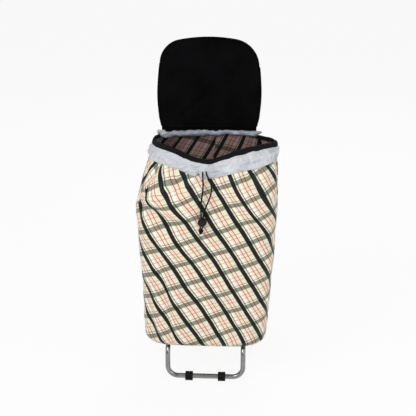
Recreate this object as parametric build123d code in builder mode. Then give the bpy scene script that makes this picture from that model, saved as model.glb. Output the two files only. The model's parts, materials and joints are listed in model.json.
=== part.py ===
"""Two-wheeled shopping trolley with a soft drawstring bag on a bent tube frame.

Millimetres, +Z up. The origin is on the floor under the middle of the trolley's box.
The bag's front, with the drawcord, faces -Y. The frame, handle and wheels are behind it, at +Y.
"""

from math import asin, atan2, cos, hypot, radians, sin, tan
import os

from build123d import *

os.makedirs("parts", exist_ok=True)

# Clearances
WELD_TOUCH = 0.0
SOFT_GAP = 0.3
RUNNING_GAP = 0.08
SLIDE_GAP = 0.3

# Frame tubes
TUBE_OD = 14.0
TUBE_WALL = 1.2
CROSSBAR_OD = 12.0
HANDLE_TOP_Z = 905.0
HANDLE_BEND_R = 34.0
UPRIGHT_END_Z = 48.0
LEAN_DEG = 9.6
LEAN_BEND_R = 120.0
LEAN_ABOVE_HINGE = 10.0
UPPER_CROSSBAR_Z = 592.0
MIDDLE_CROSSBAR_Z = 420.0
GRIP_OD = 25.0
GRIP_LENGTH = 112.0
GRIP_ROUND = 4.0

# Wheels and axle
WHEEL_R = 70.0
TYRE_WIDTH = 19.0
TYRE_DEPTH = 12.0
TYRE_ROUND = 6.0
TREAD_GROOVE = 1.6
TREAD_SPACING = 4.5
RIM_WALL = 6.0
RIM_WIDTH = 17.0
HUB_OD = 32.0
HUB_WIDTH = 24.0
SPOKES = 6
SPOKE_WIDTH = 9.0
SPOKE_DEPTH = 12.0
WEB_THICKNESS = 4.0
BUSH_OD = 14.0
AXLE_D = 10.0
AXLE_SETBACK = 45.0
WASHER_OD = 20.0
WASHER_T = 1.5
PUSH_NUT_OD = 17.0
PUSH_NUT_T = 2.5
AXLE_STUB = 1.0
CAP_OD = 30.0
CAP_LENGTH = 9.0
CAP_WALL = 2.0

# Side plates, foot bolts and brace
PLATE_T = 3.0
PLATE_EDGE = 9.0
PLATE_TOP_Z = 128.0
BOLT_D = 6.0
BOLT_WASHER_T = 1.0
BOLT_WASHER_OD = 14.0
BOLT_HEAD_OD = 11.0
BOLT_HEAD_T = 3.2
NUT_WIDTH = 10.0
NUT_T = 5.0
BRACE_D = 8.0
BRACE_BEHIND = 14.0
LEG_TAIL = 22.0

# Front foot
FOOT_HALF_WIDTH = 107.0
LEG_Z = 102.0
FOOT_BEND_R = 30.0
FOOT_INSET = 39.5
PAD_SIZE = 22.0
PAD_WIDTH = 21.0
PAD_ROUND = 5.0
PAD_SPACING = 93.0
PAD_GROOVE = 1.4
PLUG_HEAD = 2.5
PLUG_DEPTH = 12.0

# Bag
BAG_WALL = 2.5
BAG_DEPTH = 236.0
BAG_BOTTOM_ROUND = 22.0
UPRIGHT_GAP = 1.0
NECK_ABOVE_BOTTOM = 498.0
# Height above the bag's bottom, then width, depth, corner radius and shift to the right, up to the shoulder
BAG_SECTIONS = [
    (0.0, 346.0, 216.0, 60.0, -1.0),
    (95.0, 352.0, 222.0, 66.0, 0.0),
    (190.0, 363.5, 227.0, 71.0, 1.5),
    (285.0, 374.5, 231.0, 76.0, 1.5),
    (360.0, 380.0, 234.5, 80.0, 0.0),
    (425.0, 378.0, BAG_DEPTH, 82.0, 1.2),
]
# Width, depth, corner radius and shift of the neck, and of the mouth, which the drawcord pulls to the right
NECK = (357.0, 225.5, 82.0, 11.0)
MOUTH = (332.0, 219.0, 104.0, 22.0)
BOARD_T = 3.0
BOARD_MARGIN = 3.0
SEAM_TAPE_WIDTH = 8.0
SEAM_TAPE_T = 1.6
SEAM_TAPE_X = (-118.0, 142.0)

# Mouth of the bag: heights of the rim at its back, front corners and front middle
RIM_BACK_Z = 690.0
RIM_CORNER_Z = 687.0
RIM_FRONT_Z = 660.0
RIM_SPAN = 400.0
RIM_SAG_X = 18.0
COLLAR_HEIGHT = 38.0
COLLAR_T = 9.0
BINDING_HEIGHT = 12.0
BINDING_PROUD = 1.0
SLIT_WIDTH = 15.0
CHANNEL_D = 5.6

# Webbing straps that hang the bag on the crossbars
STRAP_WIDTH = 25.0
STRAP_T = 1.4
STRAP_TAIL = 44.0
STRAP_X = 62.0
SNAP_OD = 12.0
SNAP_T = 2.4

# Lid
LID_T = 6.0
LID_LENGTH = 250.0
LID_HINGE_HALF = 135.0
LID_BULGE_HALF = 143.5
LID_BULGE_AT = 90.0
LID_CORNER_HALF = 137.0
LID_CORNER_AT = 237.0
LID_CORNER_R = 66.0
LID_SIDE_R = 480.0
LID_TOP_R = 430.0
LID_REST_GAP = 0.6
PIPING_R = 3.5
PIPING_START = 16.0

# Drawcord and cord lock
CORD_D = 4.0
CORD_EXIT_X = 4.5
LOCK_X = -5.0
LOCK_Y = -192.0
LOCK_Z = 495.0
LOCK_OD = 23.0
LOCK_FRONT = 7.0
LOCK_BACK = 10.0
LOCK_ROUND = 4.5
LOCK_WALL = 1.6
CORD_SPACING = 5.2
CORD_HOLE_GAP = 0.3
BUTTON_OD = 12.0
BUTTON_TRAVEL = 3.0
BUTTON_REACH = 4.0
BUTTON_TAIL = 1.6
SPRING_OD = 8.0
SPRING_WIRE = 0.6
SPRING_TURNS = 3
KNOT_OD = 9.0
KNOT_LENGTH = 14.0
TAIL_LENGTH = 20.0
TAIL_SLANT = 4.0
LOCK_ENTRY = 14.0
STRAND_OUT = 6.5

# Places worked out from the sizes above
TUBE_R = TUBE_OD / 2
REAR_REACH = UPRIGHT_GAP + TUBE_R + AXLE_SETBACK + WHEEL_R
BAG_BACK_Y = (BAG_DEPTH - REAR_REACH) / 2
BAG_FRONT_Y = BAG_BACK_Y - BAG_DEPTH
UPRIGHT_Y = BAG_BACK_Y + UPRIGHT_GAP + TUBE_R
AXLE_Y = UPRIGHT_Y + AXLE_SETBACK
FOOT_FRONT_Y = BAG_FRONT_Y + FOOT_INSET
FOOT_BAR_Z = PAD_SIZE / 2
UPRIGHT_X = FOOT_HALF_WIDTH - TUBE_OD - BOLT_WASHER_T
PLATE_X = FOOT_HALF_WIDTH + TUBE_R + WELD_TOUCH
HUB_X = PLATE_X + PLATE_T + WASHER_T + 2 * SLIDE_GAP
WHEEL_X = HUB_X + HUB_WIDTH / 2
BAG_BOTTOM_Z = LEG_Z + TUBE_R + SOFT_GAP
NECK_Z = BAG_BOTTOM_Z + NECK_ABOVE_BOTTOM
BAND_HEIGHT = COLLAR_HEIGHT + BINDING_HEIGHT
LID_HINGE_Z = RIM_BACK_Z + SOFT_GAP + LID_T / 2
LEAN_Z = LID_HINGE_Z + LEAN_ABOVE_HINGE
LID_HINGE_Y = BAG_BACK_Y - COLLAR_T / 2
HANDLE_Y = UPRIGHT_Y + (HANDLE_TOP_Z - LEAN_Z) * tan(radians(LEAN_DEG))
LID_TO_BAR = (GRIP_OD + LID_T) / 2 + LID_REST_GAP
HINGE_TO_BAR = hypot(HANDLE_Y - LID_HINGE_Y, HANDLE_TOP_Z - LID_HINGE_Z)
LID_LEAN = atan2(HANDLE_Y - LID_HINGE_Y, HANDLE_TOP_Z - LID_HINGE_Z) - asin(LID_TO_BAR / HINGE_TO_BAR)
SIDES = {"left": -1, "right": 1}


def save(builder, name):
    """Labels a finished piece and writes its STEP file."""
    builder.part.label = name
    export_step(builder.part, f"parts/{name}.step")


def across(x):
    """Plane square to X at x, with +Y to its right and +Z up."""
    return Plane.YZ.offset(x)


def wheel_plane(side, out):
    """Plane square to the axle, out millimetres from the wheel's middle, facing away from the trolley."""
    return Plane(
        origin=(side * (WHEEL_X + out), AXLE_Y, WHEEL_R),
        x_dir=(0, 1, 0),
        z_dir=(side, 0, 0),
    )


# Main frame: one tube bent into both uprights and the handle bar
with BuildPart() as main_frame_tube:
    with BuildLine() as frame_path:
        FilletPolyline(
            (-UPRIGHT_X, UPRIGHT_Y, UPRIGHT_END_Z),
            (-UPRIGHT_X, UPRIGHT_Y, LEAN_Z),
            (-UPRIGHT_X, HANDLE_Y, HANDLE_TOP_Z),
            (UPRIGHT_X, HANDLE_Y, HANDLE_TOP_Z),
            (UPRIGHT_X, UPRIGHT_Y, LEAN_Z),
            (UPRIGHT_X, UPRIGHT_Y, UPRIGHT_END_Z),
            radius=[LEAN_BEND_R, HANDLE_BEND_R, HANDLE_BEND_R, LEAN_BEND_R],
        )
    with BuildSketch(Plane(origin=frame_path.line @ 0, z_dir=frame_path.line % 0)):
        Circle(TUBE_R)
        Circle(TUBE_R - TUBE_WALL, mode=Mode.SUBTRACT)
    sweep()
    with BuildSketch(across(-UPRIGHT_X - TUBE_OD)):
        with Locations((UPRIGHT_Y, LEG_Z)):
            Circle(BOLT_D / 2)
    extrude(amount=2 * (UPRIGHT_X + TUBE_OD), mode=Mode.SUBTRACT)
save(main_frame_tube, "main_frame_tube")

# Handle grip: soft sleeve round the handle bar
with BuildPart() as handle_grip:
    with BuildSketch(across(-GRIP_LENGTH / 2)):
        with Locations((HANDLE_Y, HANDLE_TOP_Z)):
            Circle(GRIP_OD / 2)
            Circle(TUBE_R, mode=Mode.SUBTRACT)
    extrude(amount=GRIP_LENGTH)
    outer_edges = handle_grip.edges().filter_by(GeomType.CIRCLE).group_by(SortBy.RADIUS)[-1]
    fillet(outer_edges, radius=GRIP_ROUND)
save(handle_grip, "handle_grip")


def crossbar(z):
    """Tube between the uprights at height z, its ends coped to their round sides."""
    with BuildPart() as bar:
        with BuildSketch(across(-UPRIGHT_X)):
            with Locations((UPRIGHT_Y, z)):
                Circle(CROSSBAR_OD / 2)
                Circle(CROSSBAR_OD / 2 - TUBE_WALL, mode=Mode.SUBTRACT)
        extrude(amount=2 * UPRIGHT_X)
        with BuildSketch(Plane.XY.offset(z - CROSSBAR_OD)):
            with Locations((-UPRIGHT_X, UPRIGHT_Y), (UPRIGHT_X, UPRIGHT_Y)):
                Circle(TUBE_R)
        extrude(amount=2 * CROSSBAR_OD, mode=Mode.SUBTRACT)
    return bar


for bar_name, bar_z in (("upper_crossbar", UPPER_CROSSBAR_Z), ("middle_crossbar", MIDDLE_CROSSBAR_Z)):
    save(crossbar(bar_z), bar_name)

# Brace rod: ties the side plates together under the tails of the foot
BRACE_Y = UPRIGHT_Y + BRACE_BEHIND
BRACE_Z = LEG_Z - TUBE_R - BRACE_D / 2 - WELD_TOUCH
with BuildPart() as brace_rod:
    with BuildSketch(across(-PLATE_X - PLATE_T)):
        with Locations((BRACE_Y, BRACE_Z)):
            Circle(BRACE_D / 2)
    extrude(amount=2 * (PLATE_X + PLATE_T))
save(brace_rod, "brace_rod")

# Side plates: on the legs' outer sides, carrying the axle behind the uprights
for side_name, side in SIDES.items():
    with BuildPart() as side_plate:
        with BuildSketch(across(side * (PLATE_X + PLATE_T / 2))):
            with Locations(
                (UPRIGHT_Y, UPRIGHT_END_Z + PLATE_EDGE),
                (UPRIGHT_Y, PLATE_TOP_Z),
                (BRACE_Y, BRACE_Z),
            ):
                Circle(PLATE_EDGE)
            with Locations((AXLE_Y, WHEEL_R)):
                Circle(AXLE_D / 2 + PLATE_EDGE)
            make_hull()
            with Locations((AXLE_Y, WHEEL_R)):
                Circle(AXLE_D / 2, mode=Mode.SUBTRACT)
            with Locations((BRACE_Y, BRACE_Z)):
                Circle(BRACE_D / 2, mode=Mode.SUBTRACT)
            with Locations((UPRIGHT_Y, LEG_Z)):
                Circle(BOLT_D / 2, mode=Mode.SUBTRACT)
        extrude(amount=PLATE_T / 2, both=True)
    save(side_plate, f"side_plate_{side_name}")

# Axle: plain rod through both side plates and both wheels
WASHER_IN_X = PLATE_X + PLATE_T + SLIDE_GAP
WASHER_OUT_X = HUB_X + HUB_WIDTH + SLIDE_GAP
PUSH_NUT_X = WASHER_OUT_X + WASHER_T
AXLE_END_X = PUSH_NUT_X + PUSH_NUT_T + AXLE_STUB
with BuildPart() as axle:
    with BuildSketch(across(-AXLE_END_X)):
        with Locations((AXLE_Y, WHEEL_R)):
            Circle(AXLE_D / 2)
    extrude(amount=2 * AXLE_END_X)
    chamfer(axle.edges().filter_by(GeomType.CIRCLE), length=AXLE_STUB / 2)
save(axle, "axle")


def rings_on_axle(starts, outer, thickness):
    """Rings round the axle, one at each start distance from the middle, on both sides."""
    with BuildPart() as rings:
        for side in SIDES.values():
            for start in starts:
                with BuildSketch(across(side * (start + thickness / 2))):
                    with Locations((AXLE_Y, WHEEL_R)):
                        Circle(outer / 2)
                        Circle(AXLE_D / 2, mode=Mode.SUBTRACT)
                extrude(amount=thickness / 2, both=True)
    return rings


save(rings_on_axle((WASHER_IN_X, WASHER_OUT_X), WASHER_OD, WASHER_T), "axle_washers")
save(rings_on_axle((PUSH_NUT_X,), PUSH_NUT_OD, PUSH_NUT_T), "axle_push_nuts")

# Wheels: spoked rim, tyre, bearing bush and hub cap
RIM_R = WHEEL_R - TYRE_DEPTH
for side_name, side in SIDES.items():
    with BuildPart() as wheel_rim:
        with BuildSketch(wheel_plane(side, 0)):
            Circle(RIM_R)
            Circle(RIM_R - RIM_WALL, mode=Mode.SUBTRACT)
        extrude(amount=RIM_WIDTH / 2, both=True)
        with BuildSketch(wheel_plane(side, 0)):
            Circle(HUB_OD / 2)
        extrude(amount=HUB_WIDTH / 2, both=True)
        with BuildSketch(wheel_plane(side, 0)):
            with PolarLocations((RIM_R + HUB_OD / 2) / 2 - RIM_WALL / 2, SPOKES):
                Rectangle(RIM_R - HUB_OD / 2, SPOKE_WIDTH)
        extrude(amount=SPOKE_DEPTH / 2, both=True)
        with BuildSketch(wheel_plane(side, 0)):
            Circle(RIM_R - RIM_WALL / 2)
        extrude(amount=WEB_THICKNESS / 2, both=True)
        with BuildSketch(wheel_plane(side, 0)):
            Circle(BUSH_OD / 2)
        extrude(amount=HUB_WIDTH, both=True, mode=Mode.SUBTRACT)
    save(wheel_rim, f"wheel_rim_{side_name}")

    with BuildPart() as tyre:
        with BuildSketch(wheel_plane(side, 0)):
            Circle(WHEEL_R)
            Circle(RIM_R, mode=Mode.SUBTRACT)
        extrude(amount=TYRE_WIDTH / 2, both=True)
        tread_edges = tyre.edges().filter_by(GeomType.CIRCLE).group_by(SortBy.RADIUS)[-1]
        fillet(tread_edges, radius=TYRE_ROUND)
        for offset_out in (-TREAD_SPACING / 2, TREAD_SPACING / 2):
            with BuildSketch(wheel_plane(side, offset_out)):
                Circle(WHEEL_R + TREAD_GROOVE)
                Circle(WHEEL_R - TREAD_GROOVE, mode=Mode.SUBTRACT)
            extrude(amount=TREAD_GROOVE / 2, both=True, mode=Mode.SUBTRACT)
    save(tyre, f"tyre_{side_name}")

    with BuildPart() as wheel_bush:
        with BuildSketch(wheel_plane(side, 0)):
            Circle(BUSH_OD / 2)
            Circle(AXLE_D / 2 + RUNNING_GAP, mode=Mode.SUBTRACT)
        extrude(amount=HUB_WIDTH / 2, both=True)
    save(wheel_bush, f"wheel_bush_{side_name}")

    with BuildPart() as hub_cap:
        with BuildSketch(wheel_plane(side, HUB_WIDTH / 2)):
            Circle(CAP_OD / 2)
        extrude(amount=CAP_LENGTH)
        dome_edge = hub_cap.edges().sort_by(Axis.X)[-1 if side > 0 else 0]
        fillet(dome_edge, radius=CAP_LENGTH / 2)
        with BuildSketch(wheel_plane(side, HUB_WIDTH / 2)):
            Circle(CAP_OD / 2 - CAP_WALL)
        extrude(amount=CAP_LENGTH - CAP_WALL, mode=Mode.SUBTRACT)
    save(hub_cap, f"hub_cap_{side_name}")


def tube_plugs(ends):
    """Plastic plugs for open tube ends. Each end is its centre and the direction out of the tube."""
    with BuildPart() as plugs:
        for centre, outward in ends:
            with BuildSketch(Plane(origin=centre, z_dir=outward)):
                Circle(TUBE_R - TUBE_WALL)
            extrude(amount=-PLUG_DEPTH)
            with BuildSketch(Plane(origin=centre, z_dir=outward)):
                Circle(TUBE_R)
            extrude(amount=PLUG_HEAD)
    return plugs


save(
    tube_plugs([((side * UPRIGHT_X, UPRIGHT_Y, UPRIGHT_END_Z), (0, 0, -1)) for side in SIDES.values()]),
    "upright_plugs",
)

# Front foot: one tube bent down into the stand, its legs bolted outside the uprights
TAIL_Y = UPRIGHT_Y + LEG_TAIL
with BuildPart() as foot_tube:
    with BuildLine() as foot_path:
        FilletPolyline(
            (-FOOT_HALF_WIDTH, TAIL_Y, LEG_Z),
            (-FOOT_HALF_WIDTH, FOOT_FRONT_Y, LEG_Z),
            (-FOOT_HALF_WIDTH, FOOT_FRONT_Y, FOOT_BAR_Z),
            (FOOT_HALF_WIDTH, FOOT_FRONT_Y, FOOT_BAR_Z),
            (FOOT_HALF_WIDTH, FOOT_FRONT_Y, LEG_Z),
            (FOOT_HALF_WIDTH, TAIL_Y, LEG_Z),
            radius=FOOT_BEND_R,
        )
    with BuildSketch(Plane(origin=foot_path.line @ 0, z_dir=foot_path.line % 0)):
        Circle(TUBE_R)
        Circle(TUBE_R - TUBE_WALL, mode=Mode.SUBTRACT)
    sweep()
    with BuildSketch(across(-PLATE_X)):
        with Locations((UPRIGHT_Y, LEG_Z)):
            Circle(BOLT_D / 2)
    extrude(amount=2 * PLATE_X, mode=Mode.SUBTRACT)
save(foot_tube, "foot_tube")

save(
    tube_plugs([((side * FOOT_HALF_WIDTH, TAIL_Y, LEG_Z), (0, 1, 0)) for side in SIDES.values()]),
    "foot_plugs",
)

# Rubber pads on the foot's bottom bar: rounded square sleeves with a parting groove front and back
for side_name, side in SIDES.items():
    with BuildPart() as foot_pad:
        with BuildSketch(across(side * PAD_SPACING / 2)):
            with Locations((FOOT_FRONT_Y, FOOT_BAR_Z)):
                RectangleRounded(PAD_SIZE, PAD_SIZE, PAD_ROUND)
                Circle(TUBE_R, mode=Mode.SUBTRACT)
            with Locations(
                (FOOT_FRONT_Y - PAD_SIZE / 2, FOOT_BAR_Z),
                (FOOT_FRONT_Y + PAD_SIZE / 2, FOOT_BAR_Z),
            ):
                Rectangle(PAD_GROOVE, PAD_GROOVE, mode=Mode.SUBTRACT)
        extrude(amount=PAD_WIDTH / 2, both=True)
        with BuildSketch(across(side * PAD_SPACING / 2)):
            with Locations((FOOT_FRONT_Y, FOOT_BAR_Z)):
                RectangleRounded(PAD_SIZE + PAD_GROOVE, PAD_SIZE + PAD_GROOVE, PAD_ROUND)
                RectangleRounded(PAD_SIZE - PAD_GROOVE, PAD_SIZE - PAD_GROOVE, PAD_ROUND, mode=Mode.SUBTRACT)
            with Locations((FOOT_FRONT_Y, FOOT_BAR_Z - PAD_SIZE / 2)):
                Rectangle(PAD_SIZE, PAD_SIZE / 2, mode=Mode.SUBTRACT)
        extrude(amount=PAD_GROOVE / 2, both=True, mode=Mode.SUBTRACT)
    save(foot_pad, f"foot_pad_{side_name}")


def bolt_rings(start, thickness, outer):
    """Rings round both foot bolts, from start towards the middle of the trolley."""
    with BuildPart() as rings:
        for side in SIDES.values():
            with BuildSketch(across(side * (start - thickness / 2))):
                with Locations((UPRIGHT_Y, LEG_Z)):
                    Circle(outer / 2)
                    Circle(BOLT_D / 2, mode=Mode.SUBTRACT)
            extrude(amount=thickness / 2, both=True)
    return rings


# Foot bolts: through plate, leg and upright, with a spacing washer and a nut each
NUT_X = UPRIGHT_X - TUBE_R
with BuildPart() as foot_bolts:
    for side in SIDES.values():
        with BuildSketch(across(side * (PLATE_X + PLATE_T))):
            with Locations((UPRIGHT_Y, LEG_Z)):
                Circle(BOLT_HEAD_OD / 2)
        extrude(amount=side * BOLT_HEAD_T)
        with BuildSketch(across(side * (PLATE_X + PLATE_T))):
            with Locations((UPRIGHT_Y, LEG_Z)):
                Circle(BOLT_D / 2)
        extrude(amount=-side * (PLATE_X + PLATE_T - NUT_X + NUT_T))
save(foot_bolts, "foot_bolts")
foot_washers = bolt_rings(FOOT_HALF_WIDTH - TUBE_R, BOLT_WASHER_T, BOLT_WASHER_OD)
save(foot_washers, "foot_washers")
with BuildPart() as foot_nuts:
    for side in SIDES.values():
        with BuildSketch(across(side * (NUT_X - NUT_T / 2))):
            with Locations((UPRIGHT_Y, LEG_Z)):
                RegularPolygon(NUT_WIDTH / 2, 6, major_radius=False)
                Circle(BOLT_D / 2, mode=Mode.SUBTRACT)
        extrude(amount=NUT_T / 2, both=True)
save(foot_nuts, "foot_nuts")


def bag_outline(width, depth, radius, shift, inset):
    """Rounded rectangle drawn in from the bag's outline, its back on the bag's back plane."""
    with Locations((shift, BAG_BACK_Y - depth / 2)):
        RectangleRounded(width - 2 * inset, depth - 2 * inset, radius - inset)


def mouth_form(inset):
    """Solid that tapers from the bag's neck to its mouth, drawn in by inset."""
    with BuildPart() as form:
        for z, outline in ((NECK_Z, NECK), (RIM_BACK_Z, MOUTH)):
            with BuildSketch(Plane.XY.offset(z)):
                bag_outline(*outline, inset)
        loft(ruled=True)
    return form.part


def bag_form(inset):
    """Solid of the bag's outside, or of its inside drawn in by inset, up past its rim."""
    with BuildPart() as form:
        for above, *outline in BAG_SECTIONS:
            lift = inset if above == 0 else 0
            with BuildSketch(Plane.XY.offset(BAG_BOTTOM_Z + above + lift)):
                bag_outline(*outline, inset)
        with BuildSketch(Plane.XY.offset(NECK_Z)):
            bag_outline(*NECK, inset)
        loft()
        fillet(form.edges().group_by(Axis.Z)[0], radius=BAG_BOTTOM_ROUND - inset)
        add(mouth_form(inset))
    return form.part


def neck_wall(z):
    """Left, right, front and corner radius of the tapered neck's outside at a height."""
    share = (z - NECK_Z) / (RIM_BACK_Z - NECK_Z)
    width, depth, radius, shift = (low + (high - low) * share for low, high in zip(NECK, MOUTH))
    return shift - width / 2, shift + width / 2, BAG_BACK_Y - depth, radius


def mouth_slab(low, high):
    """Slab that follows the sagging rim, from low to high millimetres under it."""
    left = RIM_SAG_X - RIM_SPAN / 2
    right = RIM_SAG_X + RIM_SPAN / 2
    with BuildPart() as slab:
        for y, corner, middle in (
            (BAG_FRONT_Y, RIM_CORNER_Z, RIM_FRONT_Z),
            (BAG_BACK_Y + TUBE_OD, RIM_BACK_Z, RIM_BACK_Z - SOFT_GAP),
        ):
            with BuildSketch(Plane.XZ.offset(-y)):
                with BuildLine():
                    ThreePointArc((left, corner - low), (RIM_SAG_X, middle - low), (right, corner - low))
                    Line((right, corner - low), (right, corner - high))
                    ThreePointArc((right, corner - high), (RIM_SAG_X, middle - high), (left, corner - high))
                    Line((left, corner - high), (left, corner - low))
                make_face()
        loft()
    return slab.part


# Bag body: soft shell, closed below and open at its neck
with BuildPart() as bag_body:
    add(bag_form(0))
    add(bag_form(BAG_WALL), mode=Mode.SUBTRACT)
    add(mouth_slab(BAND_HEIGHT, -RIM_SPAN), mode=Mode.SUBTRACT)
save(bag_body, "bag_body")

# Drawcord in the collar's channel: one run round the mouth, turned out at the slit
CORD_LINE = BINDING_HEIGHT + COLLAR_HEIGHT / 2
MID_INSET = COLLAR_T / 2
CORD_BACK_Y = BAG_BACK_Y - MID_INSET
CORD_EXIT_Z = RIM_FRONT_Z - CORD_LINE
CORD_CORNER_Z = RIM_CORNER_Z - CORD_LINE
CORD_BACK_Z = RIM_BACK_Z - CORD_LINE
CORD_EXIT_Y = neck_wall(CORD_EXIT_Z)[2]
CORD_FRONT_Y = CORD_EXIT_Y + MID_INSET
COLLAR_LEFT_X, COLLAR_RIGHT_X, COLLAR_FRONT_Y, COLLAR_R = neck_wall(CORD_CORNER_Z)
CORD_LEFT_X = COLLAR_LEFT_X + MID_INSET
CORD_RIGHT_X = COLLAR_RIGHT_X - MID_INSET
CORD_CORNER_Y = COLLAR_FRONT_Y + MID_INSET
CORD_CORNER_R = COLLAR_R - MID_INSET


def channel_run(diameter):
    """Tube of a diameter along the collar's channel, from the slit's left side round to its right."""
    with BuildPart() as run:
        with BuildLine() as line:
            FilletPolyline(
                (-CORD_EXIT_X, CORD_EXIT_Y, CORD_EXIT_Z),
                (-CORD_EXIT_X, CORD_FRONT_Y, CORD_EXIT_Z),
                (CORD_LEFT_X, CORD_CORNER_Y, CORD_CORNER_Z),
                (CORD_LEFT_X, CORD_BACK_Y, CORD_BACK_Z),
                (CORD_RIGHT_X, CORD_BACK_Y, CORD_BACK_Z),
                (CORD_RIGHT_X, CORD_CORNER_Y, CORD_CORNER_Z),
                (CORD_EXIT_X, CORD_FRONT_Y, CORD_EXIT_Z),
                (CORD_EXIT_X, CORD_EXIT_Y, CORD_EXIT_Z),
                radius=[CORD_D, *[CORD_CORNER_R] * 4, CORD_D],
            )
        with BuildSketch(Plane(origin=line.line @ 0, z_dir=line.line % 0)):
            Circle(diameter / 2)
        sweep()
    return run


drawcord_channel_run = channel_run(CORD_D)
save(drawcord_channel_run, "drawcord_channel_run")

# Collar: doubled nylon band round the neck, with the cord's channel in it and a slit at the front
with BuildPart() as bag_collar:
    add(mouth_form(0))
    add(mouth_form(COLLAR_T), mode=Mode.SUBTRACT)
    add(mouth_slab(BAND_HEIGHT, BINDING_HEIGHT), mode=Mode.INTERSECT)
    add(channel_run(CHANNEL_D).part, mode=Mode.SUBTRACT)
    with BuildSketch(Plane.XY.offset(NECK_Z - BAND_HEIGHT)):
        with Locations((0, CORD_EXIT_Y)):
            Rectangle(SLIT_WIDTH, 3 * COLLAR_T)
    extrude(amount=2 * BAND_HEIGHT, mode=Mode.SUBTRACT)
save(bag_collar, "bag_collar")

# Binding: black tape folded over the rim
with BuildPart() as bag_rim_binding:
    add(mouth_form(0))
    add(mouth_form(COLLAR_T + BINDING_PROUD), mode=Mode.SUBTRACT)
    add(mouth_slab(BINDING_HEIGHT, 0), mode=Mode.INTERSECT)
save(bag_rim_binding, "bag_rim_binding")

# Base board: stiff sheet on the bag's floor
with BuildPart() as base_board:
    with BuildSketch(Plane.XY.offset(BAG_BOTTOM_Z + BAG_WALL)):
        bag_outline(*BAG_SECTIONS[0][1:], BAG_BOTTOM_ROUND + BOARD_MARGIN)
    extrude(amount=BOARD_T)
save(base_board, "base_board")

# Seam tapes: bound seams down both back corners, inside the bag
with BuildPart() as seam_tapes:
    add(bag_form(BAG_WALL + SOFT_GAP))
    add(bag_form(BAG_WALL + SOFT_GAP + SEAM_TAPE_T), mode=Mode.SUBTRACT)
    with BuildSketch(Plane.XY.offset(BAG_BOTTOM_Z + BAG_BOTTOM_ROUND)):
        with Locations([(tape_x, BAG_BACK_Y) for tape_x in SEAM_TAPE_X]):
            Rectangle(SEAM_TAPE_WIDTH, MOUTH[2])
    extrude(amount=RIM_BACK_Z - BAND_HEIGHT - BAG_BOTTOM_Z - 2 * BAG_BOTTOM_ROUND, mode=Mode.INTERSECT)
save(seam_tapes, "seam_tapes")


def hanging_strap(x, z):
    """Webbing loop round the crossbar at height z, its tail sewn down the bag's back at x."""
    loop_r = CROSSBAR_OD / 2 + SOFT_GAP
    with BuildPart() as strap:
        with BuildSketch(across(x)):
            with Locations((UPRIGHT_Y, z)):
                Circle(loop_r + STRAP_T)
            with Locations((BAG_BACK_Y + STRAP_T / 2, z - STRAP_TAIL / 2)):
                Rectangle(STRAP_T, STRAP_TAIL)
            with Locations((UPRIGHT_Y, z)):
                Circle(loop_r, mode=Mode.SUBTRACT)
        extrude(amount=STRAP_WIDTH / 2, both=True)
    return strap


STRAPS = {
    "hanger_strap_left": (-STRAP_X, UPPER_CROSSBAR_Z),
    "hanger_strap_right": (STRAP_X, UPPER_CROSSBAR_Z),
    "lower_strap": (0, MIDDLE_CROSSBAR_Z),
}
for strap_name, (strap_x, strap_z) in STRAPS.items():
    save(hanging_strap(strap_x, strap_z), strap_name)

# Snap studs on the strap tails
with BuildPart() as strap_snaps:
    for strap_x, strap_z in STRAPS.values():
        with BuildSketch(Plane.XZ.offset(-(BAG_BACK_Y + STRAP_T))):
            with Locations((strap_x, strap_z - STRAP_TAIL + SNAP_OD)):
                Circle(SNAP_OD / 2)
        extrude(amount=-SNAP_T)
    fillet(strap_snaps.faces().sort_by(Axis.Y)[-3:].edges(), radius=SNAP_T / 3)
save(strap_snaps, "strap_snaps")

# Lid: padded flap hinged along the bag's back rim, standing open against the handle
LID_PLANE = Plane(
    origin=(0, LID_HINGE_Y, LID_HINGE_Z),
    x_dir=(1, 0, 0),
    z_dir=(0, -cos(LID_LEAN), sin(LID_LEAN)),
)


def lid_edge(start):
    """Lid's edge from one side of its hinge up round the top to the other, from start above the hinge."""
    share = start / LID_BULGE_AT
    first = LID_HINGE_HALF + (LID_BULGE_HALF - LID_HINGE_HALF) * share
    FilletPolyline(
        (-first, start),
        (-LID_BULGE_HALF, LID_BULGE_AT),
        (-LID_CORNER_HALF, LID_CORNER_AT),
        (0, LID_LENGTH),
        (LID_CORNER_HALF, LID_CORNER_AT),
        (LID_BULGE_HALF, LID_BULGE_AT),
        (first, start),
        radius=[LID_SIDE_R, LID_CORNER_R, LID_TOP_R, LID_CORNER_R, LID_SIDE_R],
    )


with BuildPart() as lid_piping:
    with BuildLine(LID_PLANE) as piping_path:
        lid_edge(PIPING_START)
    with BuildSketch(Plane(origin=piping_path.line @ 0, z_dir=piping_path.line % 0)):
        Circle(PIPING_R)
    sweep()
save(lid_piping, "lid_piping")

with BuildPart() as lid_panel:
    with BuildSketch(LID_PLANE):
        with BuildLine():
            lid_edge(0)
            Line((LID_HINGE_HALF, 0), (-LID_HINGE_HALF, 0))
        make_face()
    extrude(amount=LID_T / 2, both=True)
    with BuildSketch(across(-LID_HINGE_HALF)):
        with Locations((LID_HINGE_Y, LID_HINGE_Z)):
            Circle(LID_T / 2)
    extrude(amount=2 * LID_HINGE_HALF)
    add(lid_piping.part, mode=Mode.SUBTRACT)
save(lid_panel, "lid_panel")

# Cord lock: barrel with a sprung button that pinches both strands of the drawcord
LOCK_FRONT_Y = LOCK_Y - LOCK_FRONT
LOCK_BACK_Y = LOCK_Y + LOCK_BACK
CAVITY_BACK_Y = LOCK_BACK_Y - LOCK_WALL
CORD_HOLE = CORD_D + 2 * CORD_HOLE_GAP
BUTTON_BACK_Y = LOCK_Y + CORD_HOLE / 2 + BUTTON_TAIL


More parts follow.
